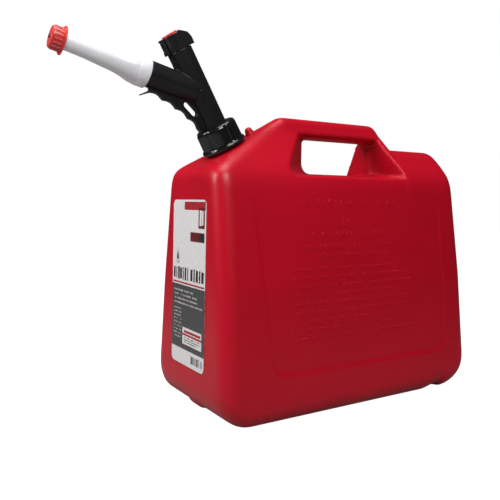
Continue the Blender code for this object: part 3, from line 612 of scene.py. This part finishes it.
def tankHull():
    shape = tankShape
    length = shape["halfLength"]
    top = shape["handleTop"]
    footX = -0.15
    handleFront = footX + (top - slopeHeight(footX)) * (-neckAxis.z / neckAxis.x)
    upper = roundedCorners(((-length, 0.2, 0), (-length, slopeHeight(-length), 0.016),
                            (handleFront, top, 0.010), (0.088, top, 0.010),
                            (0.103, shape["shoulderTop"], 0.006), (0.186, shape["shoulderTop"], 0.003),
                            (length, shape["shoulderEdge"], 0.008), (length, 0.2, 0)), 8, False)
    lower = roundedCorners(((-length, 0.1, 0), (-length, 0.0, shape["frontBottom"]), (0.118, 0.0, 0),
                            (0.143, shape["notch"], 0), (0.1485, shape["notch"], 0), (0.1505, 0.0, 0),
                            (length, 0.0, shape["rearBottom"]), (length, 0.1, 0)), 10, False)
    corner = shape["uprightRadius"]
    places = {round(x, 5) for x, _ in upper + lower}
    for step in range(9):
        edge = length - corner * (1 - cos(step * pi / 16))
        places |= {round(edge, 5), round(-edge, 5)}
    places |= {round(-length + 2 * length * step / 40, 5) for step in range(41)}
    rings = []
    last = None
    for x in sorted(places):
        if last is not None and x - last < 0.0004:
            continue
        last = x
        drawIn = roundOff(length - abs(x), corner)
        rings.append(tankSection(x, readChain(lower, x), readChain(upper, x), drawIn))
    bm = bmesh.new()
    loftRings(bm, rings)
    return meshFrom("tankSkin", bm)


def handleCutter():
    sections = [(-y, *rest) for y, *rest in reversed(gapShape["sections"][1:])] + list(gapShape["sections"])
    rings = []
    for y, top, front, floor, rearFloor, rearTop in sections:
        outline = roundedCorners(((front, top, 0.004), (front, floor, gapShape["corner"]),
                                  (rearFloor, floor, 0.004), (rearTop, top, 0.003)), 8)
        rings.append([(x, y, z) for x, z in outline])
    bm = bmesh.new()
    loftRings(bm, rings)
    return meshFrom("handleCutter", bm)


def panelDepth(x, z):
    # how deep the side panel is at a point of the wall
    shape = panelShape
    share = (z - shape["low"]) / (shape["high"] - shape["low"])
    front = shape["frontLow"] + (shape["frontHigh"] - shape["frontLow"]) * share
    middle = Vector(((front + shape["rear"]) / 2, (shape["low"] + shape["high"]) / 2))
    half = Vector(((shape["rear"] - front) / 2, (shape["high"] - shape["low"]) / 2))
    corner = shape["corner"]
    outside = Vector((abs(x - middle.x) - half.x + corner, abs(z - middle.y) - half.y + corner))
    distance = Vector((max(outside.x, 0), max(outside.y, 0))).length - corner
    distance += min(max(outside.x, outside.y), 0)
    share = min(1.0, max(0.0, -distance / shape["ramp"]))
    fade = min(1.0, max(0.0, (shape["high"] - z) / 0.05))
    return shape["depth"] * share * share * (3 - 2 * share) * fade


scratchShape = dict(start=(0.1135, 0.1115), end=(0.0836, 0.0839), width=0.0022, depth=0.0007)


def scratchDepth(x, z):
    # a scored line low on the near side
    start, end = Vector(scratchShape["start"]), Vector(scratchShape["end"])
    run = end - start
    share = min(1.0, max(0.0, (Vector((x, z)) - start).dot(run) / run.length_squared))
    distance = (Vector((x, z)) - start - run * share).length
    return scratchShape["depth"] * max(0.0, 1 - distance / scratchShape["width"])


def makeTank():
    skin = combine(tankHull(), handleCutter(), "DIFFERENCE")
    keel = slab("keel", ((0.1935, 0.020), (0.1975, 0.022), (0.1950, 0.0105), (0.1885, 0.0045),
                         (0.178, 0.0025), (0.178, 0.020)), 0.024, here)
    combine(skin, keel, "UNION")
    soften(skin, tankShape["voxel"], tankShape["passes"])
    for vertex in skin.data.vertices:
        x, y, z = vertex.co
        if abs(y) > 0.9 * halfWidth(z) and 0.05 < z < 0.28:
            vertex.co.y -= panelDepth(x, z) * (1 if y > 0 else -1)
    for vertex in skin.data.vertices:
        x, y, z = vertex.co
        if y < -0.9 * halfWidth(z):
            vertex.co.y += scratchDepth(x, z)
    mouth = turnedPiece("mouth", [(0.0165, 0.020), (0.0165, -0.010), (0.0260, -0.014), (0.0260, -0.060)],
                        neckFrame, 64, closed=False)
    combine(skin, mouth, "DIFFERENCE")
    finishPiece(skin, "can", "tankPlastic", ["tank", "tank_top", "tank_handle"], sharp=50)
    return skin


threadShape = dict(lead=0.005, turns=1.5, steps=72, rootHalf=0.0011, crestHalf=0.0005, start=0.0035)


def makeNeck():
    wall = turnedPiece("neckWall", [(0.0165, 0.0182), (0.0168, 0.0185), (0.0197, 0.0185), (0.0200, 0.0182),
                                    (0.0200, 0.0010), (0.0212, -0.0018), (0.0240, -0.0038), (0.0240, -0.0070),
                                    (0.0165, -0.0070)], neckFrame, 72)
    thread = ridge("neckRidge", threadShape, 0.0195, 0.0222, threadShape["start"], neckFrame)
    neck = combine(wall, thread, "UNION")
    finishPiece(neck, "can", "tankPlastic")
    stop = turnedPiece("nutStop", [(0.0010, 0.0056), (0.0024, 0.0053), (0.0036, 0.0045), (0.0045, 0.0032),
                                   (0.0050, 0.0014), (0.0054, -0.0008), (0.0064, -0.0028), (0.0066, -0.0050)],
                       neckFrame @ Matrix.Translation((0.0414, 0, 0)), 32, closed=False)
    finishPiece(stop, "can", "tankPlastic")


makeTank()
makeNeck()
print("tank made")


# embossed rows on both side walls: front end, rear end, low, high, seed, pitch of the bars
embossRows = (
    (-0.095, 0.080, 0.2570, 0.2665, 3, 0.0092), (-0.043, 0.004, 0.2320, 0.2420, 5, 0.0080),
    (-0.068, 0.057, 0.2185, 0.2265, 7, 0.0078), (-0.080, 0.073, 0.2040, 0.2115, 11, 0.0078),
    (-0.060, 0.060, 0.1935, 0.2000, 13, 0.0075),
)
embossBlock = dict(front=-0.105, rear=0.100, top=0.181, rows=9, pitch=0.0105, height=0.0042, bar=0.0042)


def embossing(side):
    rows = []
    for front, rear, low, high, seed, pitch in embossRows:
        count = int((rear - front) / pitch)
        rows.append(grow("row", barRow, "tankPlastic", Matrix.Translation((front, 0, (low + high) / 2)),
                         Count=count, Pitch=pitch, Height=high - low, Depth=0.0010, Narrowest=0.25,
                         Widest=0.8, Shortest=0.6, Fill=0.82, Seed=seed))
    block = embossBlock
    for index in range(block["rows"]):
        middle = block["top"] - index * block["pitch"]
        length = (block["rear"] - block["front"]) * (1.0 if index % 3 else 0.8)
        rows.append(grow("row", barRow, "tankPlastic", Matrix.Translation((block["front"], 0, middle)),
                         Count=int(length / block["bar"]), Pitch=block["bar"], Height=block["height"],
                         Depth=0.0008, Narrowest=0.3, Widest=0.9, Shortest=0.7, Fill=0.75, Seed=20 + index))
    marks = joinMeshes("sideEmbossing" + ("Near" if side < 0 else "Far"), rows)
    for vertex in marks.data.vertices:
        x, y, z = vertex.co
        wall = halfWidth(z) - panelDepth(x, z)
        vertex.co = Vector((x * -side, side * (wall + y * 0.7), z))
    bm = bmesh.new()
    bm.from_mesh(marks.data)
    bmesh.ops.recalc_face_normals(bm, faces=bm.faces[:])
    bm.to_mesh(marks.data)
    bm.free()
    bevelled(marks, 0.0002, 1)
    finishPiece(marks, "can", "embossedPlastic")


embossing(-1)
embossing(1)
print("embossing made")


labelShape = dict(halfWidth=0.045, low=0.0575, high=0.2646, corner=0.007, film=0.0003, ink=0.00012,
                  lift=0.0001)
# printed areas: left, right, top, bottom as shares of the label, then the ink
labelPrint = (
    (0.0, 1.0, 0.515, 0.905, "inkGrey", 1), (0.02, 0.98, 0.497, 0.507, "inkRed", 1),
    (0.36, 0.985, 0.012, 0.060, "inkRed", 1), (0.79, 0.965, 0.045, 0.165, "inkDeepRed", 2),
    (0.55, 0.965, 0.190, 0.245, "inkDeepRed", 1), (0.80, 0.965, 0.195, 0.240, "inkBlack", 2),
    (0.35, 0.93, 0.770, 0.872, "labelFilm", 2), (0.40, 0.90, 0.785, 0.800, "inkRed", 3),
    (0.35, 0.93, 0.806, 0.818, "inkRed", 3),
)


def labelWall(z):
    return leanOut(-tankShape["halfLength"], z)


def labelPoint(across, down):
    shape = labelShape
    y = shape["halfWidth"] * (1 - 2 * across)
    z = shape["high"] - (shape["high"] - shape["low"]) * down
    return y, z


def layOnLabel(item, layer):
    # drops a flat (y, z) piece onto the leaning front wall
    for vertex in item.data.vertices:
        x, y, z = vertex.co
        base = labelWall(z) - labelShape["lift"] - labelShape["film"] - layer * labelShape["ink"]
        vertex.co.x = base + x
    return item


def labelPatch(left, right, top, bottom, ink, layer):
    y0, z0 = labelPoint(left, top)
    y1, z1 = labelPoint(right, bottom)
    outline = [(y0, z0), (y1, z0), (y1, z1), (y0, z1)]
    patch = slab("patch", outline, labelShape["ink"] * 1.6, here, "face")
    patch.data.materials.append(materials[ink])
    return layOnLabel(patch, layer)


def labelText(left, right, top, bottom, ink, layer, bars, seed, fill=0.85):
    # one printed line of bars that spell nothing
    y0, z0 = labelPoint(left, top)
    y1, z1 = labelPoint(right, bottom)
    pitch = (y0 - y1) / bars
    place = Matrix.Translation((0, y0 - pitch / 2, (z0 + z1) / 2)) @ Matrix.Rotation(-pi / 2, 4, "Z")
    line = grow("line", barRow, ink, place, Count=bars, Pitch=pitch, Height=z0 - z1,
                Depth=labelShape["ink"] * 1.6, Narrowest=0.35, Widest=0.92, Shortest=0.8, Fill=fill,
                Seed=seed)
    return layOnLabel(line, layer)


def makeLabel():
    shape = labelShape
    outline = roundedCorners(((-shape["halfWidth"], shape["low"], shape["corner"]),
                              (shape["halfWidth"], shape["low"], shape["corner"]),
                              (shape["halfWidth"], shape["high"], shape["corner"]),
                              (-shape["halfWidth"], shape["high"], shape["corner"])))
    film = slab("frontLabel", outline, shape["film"], here, "face")
    layOnLabel(film, 0)
    finishPiece(film, "can", "labelFilm", ["front_label"], sharp=30)
    prints = [labelPatch(*patch) for patch in labelPrint]
    prints.append(labelText(0.03, 0.52, 0.405, 0.485, "inkBlack", 1, 7, 4, 0.95))
    prints.append(labelText(0.56, 0.97, 0.405, 0.485, "inkBlack", 1, 5, 9, 0.98))
    for index in range(4):
        prints.append(labelText(0.06, 0.70 + 0.08 * index, 0.545 + 0.026 * index, 0.556 + 0.026 * index,
                                "inkPale", 2, 22 + 2 * index, 30 + index))
    for index in range(9):
        prints.append(labelText(0.06, 0.30, 0.660 + 0.022 * index, 0.668 + 0.022 * index, "inkPale", 2, 8,
                                50 + index))
    for index in range(3):
        prints.append(labelText(0.40, 0.88, 0.826 + 0.014 * index, 0.832 + 0.014 * index, "inkBlack", 3, 18,
                                70 + index))
    prints.append(labelText(0.62, 0.95, 0.925, 0.975, "inkBlack", 1, 26, 90, 0.8))
    prints.append(labelText(0.82, 0.94, 0.060, 0.150, "labelFilm", 3, 2, 95, 1.0))
    drop = [(0.7 * sin(2 * pi * step / 24) * (1 - cos(2 * pi * step / 24)) / 2, cos(2 * pi * step / 24))
            for step in range(24)]
    middleY, middleZ = labelPoint(0.17, 0.335)
    for size, ink, layer in ((0.0115, "inkPale", 1), (0.0085, "labelFilm", 2), (0.0060, "inkGrey", 3)):
        mark = slab("drop", [(middleY + size * side, middleZ + size * up) for side, up in drop],
                    shape["ink"] * 1.6, here, "face")
        mark.data.materials.append(materials[ink])
        prints.append(layOnLabel(mark, layer))
    printed = joinMeshes("labelPrint", prints)
    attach(printed, "can")


makeLabel()
print("label made")


nutShape = dict(lobes=6, depth=0.0017, body=0.0271, skirt=0.0287, hole=0.0157, root=0.0228, crest=0.0205,
                ceiling=0.0239, height=0.0285, steps=240)


def nutRadius(angle, height, radius):
    # broad lobes with narrow valleys, fading out at the skirt and over the shoulder
    shape = nutShape
    if radius < shape["hole"] + 0.004 or height < 0.0034:
        return radius
    fade = min(1, (height - 0.0034) / 0.0020) * min(1, max(0, shape["height"] - height) / 0.0030)
    valley = 1 - abs(cos(shape["lobes"] * angle / 2)) ** 0.40
    return radius - shape["depth"] * fade * valley


def makeNut():
    shape = nutShape
    body = shape["body"]
    outside = [(shape["skirt"] - 0.0004, 0.0), (shape["skirt"], 0.0004), (shape["skirt"], 0.0026),
               (shape["skirt"] - 0.0005, 0.0032), (body + 0.0003, 0.0038), (body, 0.0046)]
    outside += [(body - 0.0004 * step / 6, 0.0046 + 0.0180 * step / 6) for step in range(1, 7)]
    outside += [(body - 0.0004 - 0.0046 * (1 - cos(step * pi / 12)), 0.0226 + 0.0059 * sin(step * pi / 12))
                for step in range(1, 7)]
    inside = [(shape["hole"] + 0.0004, shape["height"]), (shape["hole"], shape["height"] - 0.0004),
              (shape["hole"], shape["ceiling"]), (shape["root"], shape["ceiling"]), (shape["root"], 0.0)]
    nut = turnedPiece("ringNut", outside + inside, neckFrame, shape["steps"], shape=nutRadius)
    thread = ridge("nutRidge", threadShape, shape["root"] + 0.0005, shape["crest"],
                   threadShape["start"] + threadShape["lead"] / 2, neckFrame)
    combine(nut, thread, "UNION")
    finishPiece(nut, "nut", "nutPlastic", ["ring_nut"], sharp=42)


makeNut()
print("ring nut made")


bodyShape = dict(
    stem=0.0152, top=0.1255, flange=0.0200, flangeFoot=0.0209, flangeTop=0.0236, arm=0.0156, armEnd=0.0696,
    spigot=0.0136, spigotEnd=0.0808, bore=0.0130, armBore=0.0118, voxel=0.00068, passes=3,
)
gripShape = dict(
    web=0.0066, rim=0.0082, rimWidth=0.0022, foot=0.0293, scallop=0.0030,
    cusps=((0.0234, 0.0350), (0.0290, 0.0510), (0.0377, 0.0677), (0.0482, 0.0834), (0.0595, 0.0983)),
    hookTip=(0.0712, 0.0999), hook=0.0015, slot=((0.0194, 0.0536), (0.0237, 0.0664)), slotRadius=0.0036,
)


def scallopEdge(inset=0.0, steps=12):
    points = []
    cusps = [Vector(cusp) for cusp in gripShape["cusps"]]
    for start, end in zip(cusps, cusps[1:]):
        chord = end - start
        inward = Vector((-chord.y, chord.x)).normalized()
        for step in range(steps):
            share = step / steps
            bow = gripShape["scallop"] * sin(pi * share)
            points.append(start + chord * share + inward * (bow + inset))
    return points


def stadium(centres, radius, steps=12):
    low, high = Vector(centres[0]), Vector(centres[1])
    run = (high - low).normalized()
    side = Vector((run.y, -run.x))
    points = []
    for centre, sign in ((low, 1), (high, -1)):
        for step in range(steps + 1):
            angle = pi * step / steps
            points.append(centre + radius * sign * (side * cos(angle) - run * sin(angle)))
    return points


def makeSpoutBody():
    shape = bodyShape
    stem = turnedPiece("spoutBody", [(shape["stem"], shape["top"]), (shape["stem"], shape["flangeTop"]),
                                     (shape["flange"], shape["flangeTop"]),
                                     (shape["flange"], shape["flangeFoot"]),
                                     (0.0150, shape["flangeFoot"]), (0.0150, 0.0060), (0.0135, 0.0060),
                                     (0.0135, -0.0020)], neckFrame, 96, closed=False)
    arm = turnedPiece("armTube", [(shape["spigot"], shape["spigotEnd"]), (shape["spigot"], shape["armEnd"]),
                                  (shape["arm"], shape["armEnd"] - 0.0002), (shape["arm"], 0.0080),
                                  (0.0146, 0.0)],
                      armFrame, 96, closed=False)
    combine(stem, arm, "UNION")
    grip = gripShape
    outer = [(0.0090, grip["foot"]), (0.0218, grip["foot"])] + [tuple(point) for point in scallopEdge()]
    tip = grip["hookTip"]
    closing = [(0.0573, 0.1032), (0.0500, 0.1056), (0.0110, 0.0720)]
    web = slab("gripWeb", outer + [grip["cusps"][-1]] + closing, grip["web"], neckFrame)
    combine(stem, web, "UNION")
    inner = [tuple(point) for point in scallopEdge(grip["rimWidth"])]
    band = [(0.0195, grip["foot"]), (0.0218, grip["foot"])] + [tuple(point) for point in scallopEdge()]
    band += [grip["cusps"][-1], (0.0573, 0.1016)] + list(reversed(inner))
    combine(stem, slab("gripRim", band, grip["rim"], neckFrame), "UNION")
    hook = slab("hook", [(0.0550, 0.0971), (0.0595, 0.0980), (0.0650, 0.0990), tip,
                         (tip[0] + 0.0002, tip[1] + grip["hook"]), (0.0650, 0.1008), (0.0596, 0.1006),
                         (0.0550, 0.1026)], grip["web"], neckFrame)
    combine(stem, hook, "UNION")
    combine(stem, slab("slotCut", stadium(grip["slot"], grip["slotRadius"]), 0.03, neckFrame), "DIFFERENCE")
    for side in (-1, 1):
        place = neckFrame @ Matrix.Translation((-0.0042, side * 0.0144, 0.0733)) @ Matrix.Rotation(
            -side * pi / 2, 4, "X")
        dot = turnedPiece("dot", [(0.0008, 0.0019), (0.0014, 0.0014), (0.0016, 0.0006), (0.0016, -0.0020)],
                          place, 20, closed=False)
        combine(stem, dot, "UNION")
    bore = turnedPiece("bore", [(shape["bore"], 0.130), (shape["bore"], 0.026), (0.0128, 0.022),
                                (0.0128, 0.010), (0.0100, 0.0065), (0.0100, -0.004)],
                       neckFrame, 64, closed=False)
    combine(stem, bore, "DIFFERENCE")
    armBore = turnedPiece("armBore", [(shape["armBore"], 0.083), (shape["armBore"], 0.001)], armFrame, 64,
                          closed=False)
    combine(stem, armBore, "DIFFERENCE")
    soften(stem, shape["voxel"], shape["passes"])
    finishPiece(stem, "spout", "blackPlastic", ["spout_body"], sharp=0)


makeSpoutBody()
print("spout body made")


headShape = dict(
    outline=((0.0200, 0.1258, 0), (0.0200, 0.1443, 0), (0.0014, 0.1445, 0.0030), (-0.0026, 0.1464, 0.0012),
             (-0.0125, 0.1405, 0.0030), (-0.0152, 0.1340, 0.0030), (-0.0200, 0.1325, 0),
             (-0.0200, 0.1258, 0)),
    plan=dict(radius=0.0151, front=0.0151, rear=0.0159, corner=0.0022),
    well=dict(radius=0.0122, front=0.0133, rear=0.0024, corner=0.0008), wellFloor=0.1335,
    bore=0.0107, voxel=0.00045, passes=2,
)
lockShape = dict(start=0.0156, end=0.0184, halfWidth=0.0048, foot=0.1253, top=0.1442)
buttonShape = dict(
    outline=((0.0200, 0.1395, 0), (0.0200, 0.1445, 0), (0.0116, 0.1461, 0.0030), (-0.0008, 0.1474, 0.0008),
             (-0.0050, 0.1468, 0), (-0.0050, 0.1395, 0)),
    plan=dict(radius=0.0115, front=0.0128, rear=0.0018, corner=0.0008),
)


def roundFront(name, plan, low, high):
    # an upright block that is half round towards the nozzle and square behind
    radius, rear, corner = plan["radius"], plan["rear"], plan["corner"]
    centre = radius - plan["front"]
    outline = [(centre - radius * cos(step * pi / 32 - pi / 2), radius * sin(step * pi / 32 - pi / 2))
               for step in range(33)]
    slight = corner * 0.3
    outline += [(rear - corner, radius), (rear - slight, radius - slight), (rear, radius - corner),
                (rear, corner - radius), (rear - slight, slight - radius), (rear - corner, -radius)]
    return slab(name, outline, high - low, neckFrame @ Matrix.Translation((0, 0, (low + high) / 2)), "plan")


def makeHead():
    shape = headShape
    head = slab("headShroud", roundedCorners(shape["outline"], 6), 0.04, neckFrame)
    combine(head, roundFront("headPlan", shape["plan"], 0.110, 0.160), "INTERSECT")
    collar = turnedPiece("collar", [(0.0127, 0.1275), (0.0127, 0.1180)], neckFrame, 64, closed=False)
    combine(head, collar, "UNION")
    bore = turnedPiece("headBore", [(0.0066, 0.1412), (0.0066, 0.1348), (shape["bore"], 0.1348),
                                    (shape["bore"], 0.1100)], neckFrame, 48, closed=False)
    combine(head, bore, "DIFFERENCE")
    combine(head, roundFront("well", shape["well"], shape["wellFloor"], 0.160), "DIFFERENCE")
    slot = slab("lockSlot", ((0.0080, 0.1252), (0.0200, 0.1252), (0.0200, 0.1329), (0.0080, 0.1329)), 0.0080,
                neckFrame)
    combine(head, slot, "DIFFERENCE")
    soften(head, shape["voxel"], shape["passes"])
    finishPiece(head, "spout", "blackPlastic", ["head_shroud"], sharp=0)


def makeLock():
    shape = lockShape
    start, end, foot, top = shape["start"], shape["end"], shape["foot"], shape["top"]
    outline = roundedCorners(((start, foot, 0.0003), (end, foot, 0.0008), (end, foot + 0.0040, 0.0006),
                              (end - 0.0010, foot + 0.0050, 0.0004), (end - 0.0010, top - 0.0026, 0.0004),
                              (end, top - 0.0018, 0.0004), (end, top, 0.0007), (start, top, 0.0003)), 4)
    lock = slab("lockSlide", outline, 2 * shape["halfWidth"], neckFrame)
    bevelled(lock, 0.0005, 3)
    tongue = slab("tongue", ((0.0128, 0.1300), (start + 0.001, 0.1300), (start + 0.001, 0.1325),
                             (0.0128, 0.1325)), 0.0070, neckFrame)
    combine(lock, tongue, "UNION")
    place = neckFrame @ Matrix.Translation((-end + 0.0008, 0, 0.1318)) @ Matrix.Rotation(-pi / 2, 4, "Y")
    ribs = grow("lockRibs", barRow, "blackPlastic", place, Count=5, Pitch=0.0019, Height=0.0012, Depth=0.0078,
                Narrowest=0.42, Widest=0.42, Shortest=1.0, Fill=1.0, Seed=2)
    bevelled(ribs, 0.0002, 2)
    finishPiece(ribs, "lock", "blackPlastic")
    finishPiece(lock, "lock", "blackPlastic", ["lock_slide"])


def makeButton():
    shape = buttonShape
    button = slab("thumbButton", roundedCorners(shape["outline"], 6), 0.04, neckFrame)
    combine(button, roundFront("buttonPlan", shape["plan"], 0.110, 0.160), "INTERSECT")
    bevelled(button, 0.0006, 3)
    stem = turnedPiece("buttonStem", [(0.0060, 0.1410), (0.0060, 0.1290), (0.0100, 0.1290), (0.0100, 0.1275)],
                       neckFrame, 48, closed=False)
    combine(button, stem, "UNION")
    finishPiece(button, "button", "buttonRed", ["thumb_button"])


makeHead()
makeLock()
makeButton()
print("head, lock and button made")


nozzleShape = dict(
    start=0.0699, wall=0.0016, socket=0.0139,
    outside=((0.0162, 0.0), (0.0174, 0.0003), (0.0177, 0.0010), (0.0178, 0.0040), (0.0178, 0.0128),
             (0.0176, 0.0136), (0.0172, 0.0140), (0.0171, 0.0150), (0.01705, 0.0172), (0.0168, 0.0192),
             (0.0163, 0.0213), (0.0156, 0.0237), (0.0147, 0.0267), (0.0138, 0.0300), (0.0130, 0.0338),
             (0.0123, 0.0385), (0.0118, 0.0440), (0.0113, 0.0510), (0.0107, 0.0580), (0.0101, 0.0650),
             (0.0096, 0.0720), (0.0093, 0.0790), (0.0091, 0.0870), (0.0090, 0.0950), (0.0090, 0.1068),
             (0.0086, 0.1074)),
)
capShape = dict(foot=0.1671, end=0.1813, body=0.0124, flange=0.0158, bore=0.0095, ribs=17)


def makeNozzle():
    shape = nozzleShape
    outside = [(radius, shape["start"] + along) for radius, along in shape["outside"]]
    throat = [(radius - shape["wall"], along) for radius, along in outside if along > 0.0890]
    socket = [(shape["socket"], shape["start"]), (shape["socket"], 0.0814), (0.0136, 0.0858)]
    nozzle = turnedPiece("nozzle", list(reversed(outside)) + socket + throat, armFrame, 96)
    finishPiece(nozzle, "spout", "nozzlePlastic", ["nozzle"], sharp=50)


def makeCap():
    shape = capShape
    foot, end = shape["foot"], shape["end"]
    profile = [(shape["bore"], foot), (shape["flange"] - 0.0003, foot), (shape["flange"], foot + 0.0003),
               (shape["flange"], foot + 0.0014), (shape["flange"] - 0.0004, foot + 0.0019),
               (shape["body"] + 0.0006, foot + 0.0022), (shape["body"], foot + 0.0030),
               (shape["body"], end - 0.0018), (shape["body"] - 0.0004, end - 0.0007),
               (shape["body"] - 0.0012, end), (0.0030, end), (0.0028, end - 0.0002), (0.0028, end - 0.0020),
               (shape["bore"], end - 0.0020)]
    cap = turnedPiece("nozzleCap", profile, armFrame, 96)
    finishPiece(cap, "cap", "capRed", ["nozzle_cap"], sharp=35)
    length = end - foot - 0.0044
    place = armFrame @ Matrix.Translation((0, 0, foot + 0.0021 + length / 2))
    ribs = grow("capRibs", ribRing, "capRed", place, Count=shape["ribs"], Radius=shape["body"],
                Width=0.0019, Depth=0.0016, Length=length)
    finishPiece(ribs, "cap", "capRed")


makeNozzle()
makeCap()
print("nozzle and cap made")


def makeSpring():
    spring = grow("returnSpring", springCoil, "springSteel", neckFrame @ Matrix.Translation((0, 0, 0.1022)),
                  Turns=6.0, Radius=0.0080, Height=0.0240, Wire=0.0008)
    finishPiece(spring, "spout", "springSteel", ["return_spring"], sharp=0)


carriedOver = {
    "neck_gasket": "sealRubber", "rod_seal": "sealRubber", "valve_seal": "sealRubber",
    "nozzle_seal": "sealRubber",
    "push_rod": "springSteel", "rod_clip": "springSteel", "rod_guide": "blackPlastic",
    "valve_head": "blackPlastic", "vent_tube": "blackPlastic", "flame_arrester": "capRed",
    "cap_plug": "plugRed",
}
for nodeName, materialName in carriedOver.items():
    node = frame["nodes"][nodeName]
    node.data.materials.clear()
    node.data.materials.append(materials[materialName])
makeSpring()
print("inner pieces dressed:", len(carriedOver) + 1)


studio = dict(
    backdrop=1.0, ambient=0.04, floor=0.30, floorLift=1.0,
    lights=(
        ("sideLight", (-0.40, -0.95, 1.10), (0.6, 0.4), 13),
        ("topLight", (-0.25, 0.0, 1.4), (0.9, 0.7), 11),
        ("frontLight", (-1.15, 0.25, 0.85), (0.4, 0.6), 12),
    ),
    aim=(0.0, 0.0, 0.2),
)
view = dict(location=(-0.52236, -0.66151, 0.26456), yaw=31.762, pitch=-4.761, roll=0.58, lens=42.98)


def makeFloor():
    bm = bmesh.new()
    bmesh.ops.create_grid(bm, x_segments=8, y_segments=8, size=4.0)
    mesh = bpy.data.meshes.new("studioFloor")
    bm.to_mesh(mesh)
    bm.free()
    floor = linkMesh("studioFloor", mesh)
    material = bpy.data.materials.new("floorPaint")
    material.use_nodes = True
    shader = material.node_tree.nodes["Principled BSDF"]
    shader.inputs["Base Color"].default_value = (*[studio["floor"]] * 3, 1)
    shader.inputs["Roughness"].default_value = 0.9
    shader.inputs["Emission Color"].default_value = (1, 1, 1, 1)
    rays = material.node_tree.nodes.new("ShaderNodeLightPath")
    lift = addNode(material.node_tree, "ShaderNodeMath", operation="MULTIPLY")
    lift.inputs[1].default_value = studio["floorLift"]
    material.node_tree.links.new(rays.outputs["Is Camera Ray"], lift.inputs[0])
    material.node_tree.links.new(lift.outputs[0], shader.inputs["Emission Strength"])
    floor.data.materials.append(material)


def makeLights():
    world = bpy.data.worlds.new("studioWorld")
    world.use_nodes = True
    shade = world.node_tree.nodes["Background"]
    rays = world.node_tree.nodes.new("ShaderNodeLightPath")
    strength = addNode(world.node_tree, "ShaderNodeMapRange", To_Min=studio["ambient"],
                       To_Max=studio["backdrop"])
    world.node_tree.links.new(rays.outputs["Is Camera Ray"], strength.inputs["Value"])
    world.node_tree.links.new(strength.outputs["Result"], shade.inputs["Strength"])
    shade.inputs["Color"].default_value = (1, 1, 1, 1)
    bpy.context.scene.world = world
    for name, spot, size, power in studio["lights"]:
        lamp = bpy.data.lights.new(name, "AREA")
        lamp.shape = "RECTANGLE"
        lamp.size, lamp.size_y = size
        lamp.energy = power
        item = bpy.data.objects.new(name, lamp)
        item.location = spot
        item.rotation_euler = (Vector(studio["aim"]) - Vector(spot)).to_track_quat("-Z", "Y").to_euler()
        bpy.context.scene.collection.objects.link(item)


def makeCamera():
    yaw, pitch, roll = (radians(view[key]) for key in ("yaw", "pitch", "roll"))
    forward = Vector((sin(yaw) * cos(pitch), cos(yaw) * cos(pitch), sin(pitch)))
    right = Vector((cos(yaw), -sin(yaw), 0))
    up = right.cross(forward)
    tiltedRight = right * cos(roll) + up * sin(roll)
    tiltedUp = up * cos(roll) - right * sin(roll)
    camera = bpy.data.objects.new("camera", bpy.data.cameras.new("camera"))
    camera.data.lens = view["lens"]
    camera.data.sensor_width = 36
    camera.data.clip_start = 0.01
    turn = Matrix((tiltedRight, tiltedUp, -forward)).transposed().to_4x4()
    camera.matrix_world = Matrix.Translation(view["location"]) @ turn
    bpy.context.scene.collection.objects.link(camera)
    bpy.context.scene.camera = camera


makeFloor()
makeLights()
makeCamera()
bpy.context.scene.view_settings.view_transform = "Standard"
print("studio made")
